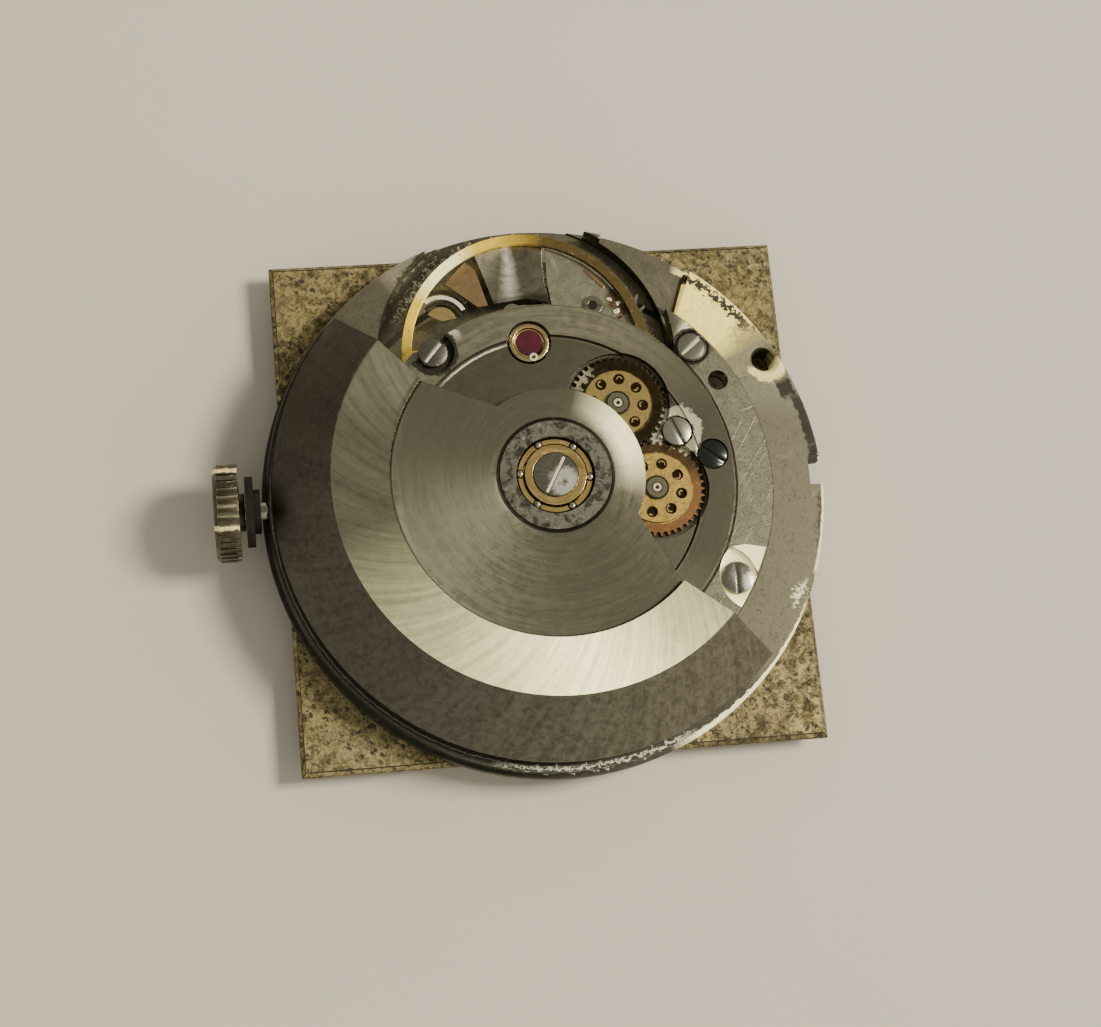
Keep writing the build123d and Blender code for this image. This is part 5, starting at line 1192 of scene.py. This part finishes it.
def arc_band(
    centre: Point, inner: float, outer: float, start: float, end: float, steps: int = 18
) -> list[Point]:
    """Draws the outline of a piece of a ring.

    Args:
        centre: The ring's middle.
        inner: Its inner radius.
        outer: Its outer radius.
        start: First angle in degrees.
        end: Last angle in degrees.
        steps: How many straight parts make the curve.

    Returns:
        The corner points in order.
    """
    turns = [start + (end - start) * step / steps for step in range(steps + 1)]
    out = [polar(outer, turn, centre) for turn in turns]
    return out + [polar(inner, turn, centre) for turn in reversed(turns)]


@dataclass
class ReverserClicks:
    """The floors of a reverser wheel's holes, dark as painted shade, with the worn parts of the clicks that
    show there.
    """

    body: str
    centre: Point
    first: float
    floor_z: float
    seed: int
    ring_r: float = 1.14
    holes: int = 8
    floor_r: float = 0.235
    floor_thick: float = 0.01
    click_wide: float = 0.07
    click_low: float = 0.012
    click_high: float = 0.035
    click_off: float = 0.03

    def build(self) -> None:
        """Makes the floors, dark as painted shade, and a bright curved click in each hole."""
        luck = random.Random(self.seed)
        floors, clicks = bmesh.new(), bmesh.new()
        for number in range(self.holes):
            at = polar(self.ring_r, self.first + number * 360 / self.holes, self.centre)
            # Each hole's dark floor is painted shade.
            prism(floors, disc(self.floor_r, at), self.floor_z, self.floor_z + self.floor_thick)
            start, sweep = luck.uniform(0.0, 360.0), luck.uniform(90.0, 200.0)
            outer = luck.uniform(0.13, 0.2)
            middle = polar(self.click_off, start, at)
            bow = arc_band(middle, outer - self.click_wide, outer, start, start + sweep, 10)
            prism(clicks, bow, self.floor_z + self.click_low, self.floor_z + self.click_high)
        mesh_piece(f"{self.body}_hole_shade_floors", self.body, Finish.HOLE_SHADE_COPPER, floors)
        mesh_piece(f"{self.body}_clicks", self.body, Finish.CLICK, clicks)


@dataclass
class JewelDome:
    """The cap jewel's polished dome and the loop of its gilt spring."""

    radius: float = 0.6
    low: float = 4.105
    rise: float = 0.05
    rings: int = 6
    sides: int = 40
    loop_at: Point = (-0.36, 5.79)
    loop_outer: float = 0.19
    loop_inner: float = 0.1

    def build(self) -> None:
        """Makes the dome over the setting's middle and the bright loop on the setting's edge."""
        self.make_dome()
        loop = bmesh.new()
        for start in (0.0, 180.0):
            half = arc_band(self.loop_at, self.loop_inner, self.loop_outer, start, start + 179.0, 12)
            prism(loop, half, self.low, self.low + self.rise)
        mesh_piece("cap_spring_loop", "movement", Finish.PALE_WEAR_AND_HIGHLIGHT, loop)

    def make_dome(self) -> None:
        """Makes the dome from rings that rise to its crest."""
        dome = bmesh.new()
        rows = []
        for ring in range(1, self.rings + 1):
            share = ring / self.rings
            radius, top = self.radius * share, self.low + self.rise * (1 - share * share)
            rows.append([dome.verts.new((x, y, top)) for x, y in disc(radius, BALANCE, self.sides)])
        crest = dome.verts.new((*BALANCE, self.low + self.rise))
        for side in range(self.sides):
            after = (side + 1) % self.sides
            dome.faces.new((crest, rows[0][side], rows[0][after])).smooth = True
            for inner, outer in zip(rows, rows[1:]):
                dome.faces.new((inner[side], outer[side], outer[after], inner[after])).smooth = True
        mesh_piece("cap_jewel_dome", "movement", Finish.RUBY_DOME, dome)


@dataclass
class LeafCorner:
    """Bright corner of the train bridge over its lower screw: bared metal under a glowing painted highlight.
    """

    low: float = 3.1
    high: float = 3.106
    outline: tuple[Point, ...] = (
        (9.53, -3.5), (9.1, -3.4), (8.6, -3.3), (7.98, -3.36), (8.42, -3.65), (8.72, -3.98),
        (8.9, -4.35), (9.03, -4.6), (9.19, -4.29), (9.37, -3.88),
    )

    def build(self) -> None:
        """Makes the thin bright patch."""
        patch = bmesh.new()
        # The thin patch carries a glowing painted highlight.
        prism(patch, list(self.outline), self.low, self.high)
        mesh_piece("train_bridge_bared_corner_highlight", "movement", Finish.BARED_AND_HIGHLIGHT, patch)


@dataclass
class SlotFloors:
    """Pale strips on the screw slots' floors: painted highlights where the slots catch the light."""

    width: float = 0.13
    floor: float = 0.1
    thick: float = 0.06
    screws: tuple[tuple[str, Point, float, float, float], ...] = (
        ("centre", AXIS, 0.9, 5.12, 60.0),
        ("left", LEFT_SCREW, 0.55, 4.15, 48.0),
        ("train", TRAIN_SCREW, 0.56, 3.05, 38.0),
    )

    def build(self) -> None:
        """Makes a bright strip on each slot's floor."""
        side = self.width / 2
        for name, place, half, top, heading in self.screws:
            strip = bmesh.new()
            cos, sin = math.cos(math.radians(heading)), math.sin(math.radians(heading))
            corners = ((half, side), (-half, side), (-half, -side), (half, -side))
            outline = [(place[0] + x * cos - y * sin, place[1] + x * sin + y * cos) for x, y in corners]
            prism(strip, outline, top - self.floor, top - self.floor + self.thick)
            mesh_piece(f"slot_floor_highlight_{name}", "movement", Finish.PALE_WEAR_AND_HIGHLIGHT, strip)


@dataclass
class BalanceFloor:
    """Small parts that the balance opening shows under the wheel's rim."""

    body: str = "movement"
    floor_z: float = 2.2
    sheet_low: float = 2.36
    sheet_high: float = 2.435
    cover_low: float = 2.425
    cover_high: float = 2.45
    low_top: float = 2.27
    top_z: float = 2.49
    bridge: tuple[Point, ...] = (
        (-2.5, 11.5), (-1.4, 11.95), (-0.2, 12.1), (0.76, 11.95), (0.66, 10.9), (0.68, 9.9), (0.85, 8.95),
        (-0.3, 9.2), (-1.75, 9.02), (-2.1, 10.2),
    )
    cover: tuple[Point, ...] = (
        (0.84, 11.6), (1.6, 11.3), (2.6, 10.72), (3.5, 9.9), (4.2, 8.95), (4.5, 8.2), (3.2, 7.9),
        (0.98, 8.3), (0.8, 9.9),
    )
    wedge: tuple[Point, ...] = ((-3.95, 10.15), (-2.93, 11.2), (-2.47, 10.75), (-2.03, 9.0), (-2.5, 8.95))
    cup: Point = (2.83, 8.68)
    cup_r: float = 0.47
    cup_bore_r: float = 0.21
    hook_at: Point = (-4.25, 8.35)
    hook_radii: tuple[float, ...] = (0.7, 1.0, 1.28, 1.56)
    hook_width: float = 0.2
    hook_bore_r: float = 0.05
    hook_drop: float = 0.01
    shade_disc_thick: float = 0.006
    edge: float = 0.02
    fine_edge: float = 0.015
    stick: tuple[Point, ...] = ((2.55, 10.4), (2.72, 10.5), (3.55, 9.65), (3.42, 9.48))
    bits: tuple[Point, ...] = ((3.65, 8.95), (4.05, 8.75), (3.94, 8.35))

    def build(self) -> None:
        """Makes the parts, each clear of the wheel's rim and arms."""
        self.make_sheets()
        self.make_cup()
        self.make_hooks()
        self.make_bits()

    def make_sheets(self) -> None:
        """Makes the brushed bridge, the grey cover, the gilt tab and the copper stick."""
        pieces = (
            ("brushed_bridge", "bridge_nickel", Finish.SWIRLED, self.bridge, self.sheet_low, self.sheet_high),
            ("grey_cover", "bridge_nickel", Finish.GREY_COVER, self.cover, self.cover_low, self.cover_high),
            ("gilt_tab", "gilt", Finish.GILT_FLOOR, self.wedge, self.floor_z, self.low_top),
            ("copper_stick", "gilt", Finish.GILT_FLOOR, self.stick, self.cover_high, self.top_z),
        )
        for name, slot, finish, outline, low, high in pieces:
            shape = bmesh.new()
            prism(shape, list(outline), low, high)
            self.soften(mesh_piece(f"balance_{name}", self.body, finish, shape), self.fine_edge)

    def make_cup(self) -> None:
        """Makes the cup's ring in two halves and a black disc in its bore as painted shade."""
        cup = bmesh.new()
        for start in (0.0, 180.0):
            half = arc_band(self.cup, self.cup_bore_r, self.cup_r, start, start + 177.0)
            prism(cup, half, self.cover_high, self.top_z)
        self.soften(mesh_piece("balance_cup_ring", self.body, Finish.DULL, cup), self.edge)
        # The black disc in the bore is painted shade.
        shade_disc = bmesh.new()
        prism(shade_disc, disc(self.cup_bore_r, self.cup), self.cover_high, self.cover_high + self.shade_disc_thick)
        mesh_piece("balance_cup_shade_disc", self.body, Finish.SEAL, shade_disc)

    def make_hooks(self) -> None:
        """Makes the nested bows, each a little shorter and lower than the one inside it."""
        finishes = (Finish.BRASS, Finish.DARK_EDGE, Finish.PALE_WEAR_AND_HIGHLIGHT, Finish.DARK_EDGE)
        for number, (radius, finish) in enumerate(zip(self.hook_radii, finishes)):
            hook = bmesh.new()
            inner = self.hook_bore_r if number == 0 else radius - self.hook_width
            outline = arc_band(self.hook_at, inner, radius, 8.0 + 9 * number, 150.0 - 12 * number)
            prism(hook, outline, self.floor_z, self.low_top - self.hook_drop * number)
            self.soften(mesh_piece(f"balance_hook_{number}", self.body, finish, hook), self.edge)

    def make_bits(self) -> None:
        """Makes the few pale crumbs beside the cup ring."""
        luck = random.Random(7)
        crumbs = bmesh.new()
        for x, y in self.bits:
            turn = luck.uniform(0.0, 360.0)
            around = [polar(luck.uniform(0.08, 0.2), turn + 60 * corner, (x, y)) for corner in range(6)]
            prism(crumbs, around, self.cover_high, self.top_z - luck.uniform(0.0, 0.015))
        piece = mesh_piece("balance_crumbs", self.body, Finish.PALE_WEAR_AND_HIGHLIGHT, crumbs)
        self.soften(piece, self.fine_edge)

    @staticmethod
    def soften(piece: bpy.types.Object, width: float) -> None:
        """Rounds a piece's edges a little.

        Args:
            piece: The object.
            width: Width of the rounding.
        """
        bevel = piece.modifiers.new("rounded", "BEVEL")
        bevel.width = width * MM
        bevel.segments = 3
        bevel.limit_method = "ANGLE"


@dataclass(frozen=True)
class Glow:
    """A soft round patch of the room: a window, or the dark place over the movement."""

    turn: float
    lift: float
    inner: float
    outer: float
    colour: Colour

    def mask(self, kit: Nodes, way: Socket) -> Socket:
        """Measures where the patch is.

        Args:
            kit: Helper of the world's tree.
            way: Direction looked in.

        Returns:
            The mask's socket, 1 inside the patch.
        """
        x, y = polar(math.cos(math.radians(self.lift)), self.turn)
        middle = (x, y, math.sin(math.radians(self.lift)))
        near = kit.vector("DOT_PRODUCT", kit.vector("NORMALIZE", way), middle)
        return kit.span(near, math.cos(math.radians(self.outer)), math.cos(math.radians(self.inner)))


@dataclass
class Studio:
    """Floor, lights, world and the camera at the photograph's place.

    Attributes:
        floor_z: Height of the paper.
        floor_half: Half its side.
        camera_at: The camera's place.
        right: The camera's own X direction.
        up: Its Y direction.
        back: Its Z direction, away from what it looks at.
        focal_px: Its focal length in the photo's pixels.
        photo_wide: The photo's width in pixels.
        sensor: The sensor's width.
        clip: The nearest and farthest distance that it sees, in metres.
        lights: For each light the arguments of make_light.
        room_front: The room's colour in front of the movement.
        room_back: Its colour behind the movement.
        room_lean: Direction from front to back.
        room_reach: Where the two colours end along it.
        glows: Brighter patches of the room.
    """

    floor_z: float = -1.02
    floor_half: float = 900.0
    camera_at: tuple[float, float, float] = (-12.5266, -23.5283, 96.5277)
    right: tuple[float, float, float] = (0.98971251, -0.09244480, 0.10919296)
    up: tuple[float, float, float] = (0.06411248, 0.96886372, 0.23914991)
    back: tuple[float, float, float] = (-0.12790126, -0.22968902, 0.96482341)
    focal_px: float = 2150.0
    photo_wide: float = 1101.0
    sensor: float = 36.0
    clip: tuple[float, float] = (0.001, 20.0)
    lights: tuple[tuple[str, float, float, float, float, float, Colour], ...] = (
        ("key", 4.0, 50.0, 460.0, 120.0, 2.7, (1.0, 0.95, 0.79)),
    )
    room_front: Colour = (0.42, 0.412, 0.4)
    room_back: Colour = (1.42, 1.36, 1.1)
    room_lean: Point = (0.9, -0.1)
    room_reach: float = 0.85
    glows: tuple[Glow, ...] = (Glow(61.0, 75.0, 26.0, 56.0, (0.31, 0.298, 0.238)),)

    def build(self) -> None:
        """Makes the floor, the lights, the world and the camera."""
        self.make_floor()
        for light in self.lights:
            self.make_light(*light)
        self.make_world()
        self.make_camera()

    def make_floor(self) -> None:
        """Makes the paper that the movement lies on."""
        shape = bmesh.new()
        half = self.floor_half * MM
        corners = [(-half, -half), (half, -half), (half, half), (-half, half)]
        shape.faces.new([shape.verts.new((x, y, self.floor_z * MM)) for x, y in corners])
        mesh = bpy.data.meshes.new("floor")
        shape.to_mesh(mesh)
        shape.free()
        mesh.materials.append(Finish.FLOOR.build())
        floor = bpy.data.objects.new("floor", mesh)
        bpy.context.scene.collection.objects.link(floor)

    def make_light(
        self, name: str, turn: float, lift: float, far: float, wide: float, watts: float, colour: Colour
    ) -> None:
        """Adds a square soft light that faces the movement.

        Args:
            name: The light's name.
            turn: Its direction round the movement in degrees.
            lift: Its height over the floor in degrees.
            far: Its distance.
            wide: Its side length.
            watts: Its power.
            colour: Its colour.
        """
        data = bpy.data.lights.new(name, "AREA")
        data.size = wide * MM
        data.energy = watts
        data.color = colour
        light = bpy.data.objects.new(name, data)
        level = far * math.cos(math.radians(lift))
        x, y = polar(level, turn)
        light.location = Vector((x, y, far * math.sin(math.radians(lift)))) * MM
        light.rotation_euler = light.location.to_track_quat("Z", "Y").to_euler()
        bpy.context.scene.collection.objects.link(light)

    def make_world(self) -> None:
        """Makes a soft room: brighter behind the movement, darker in front of it and overhead."""
        world = bpy.data.worlds.new("soft_room")
        world.use_nodes = True
        kit = Nodes(world.node_tree)
        way = kit.add("ShaderNodeTexCoord").outputs["Generated"]
        x, y, _ = kit.axes(way)
        lean = kit.plus(kit.times(x, self.room_lean[0]), kit.times(y, self.room_lean[1]))
        share = kit.span(lean, -self.room_reach, self.room_reach)
        colour = kit.mix(share, self.room_front, self.room_back)
        for glow in self.glows:
            colour = kit.mix(glow.mask(kit, way), colour, glow.colour)
        background = world.node_tree.nodes["Background"]
        kit.put(background.inputs["Color"], colour)
        background.inputs["Strength"].default_value = 1.0
        bpy.context.scene.world = world

    def make_camera(self) -> None:
        """Places the camera as the photograph was taken."""
        data = bpy.data.cameras.new("photo_camera")
        data.sensor_fit = "HORIZONTAL"
        data.sensor_width = self.sensor
        data.lens = self.focal_px / self.photo_wide * self.sensor
        data.clip_start, data.clip_end = self.clip
        camera = bpy.data.objects.new("photo_camera", data)
        turn = Matrix((self.right, self.up, self.back)).transposed().to_4x4()
        camera.matrix_world = Matrix.Translation(Vector(self.camera_at) * MM) @ turn
        bpy.context.scene.collection.objects.link(camera)
        bpy.context.scene.camera = camera


def main() -> None:
    """Dresses the CAD nodes, adds the new pieces and sets the studio."""
    logging.basicConfig(level=logging.INFO, format="%(message)s")
    for name, dress in DRESSES.items():
        dress_node(name, dress)
    ReverserClicks("reverser_a", REVERSER_A, first=-8.0, floor_z=4.052, seed=3).build()
    ReverserClicks("reverser_b", REVERSER_B, first=28.5, floor_z=3.982, seed=5).build()
    SlotFloors().build()
    JewelDome().build()
    LeafCorner().build()
    BalanceFloor().build()
    Studio().build()


if __name__ == "__main__":
    main()
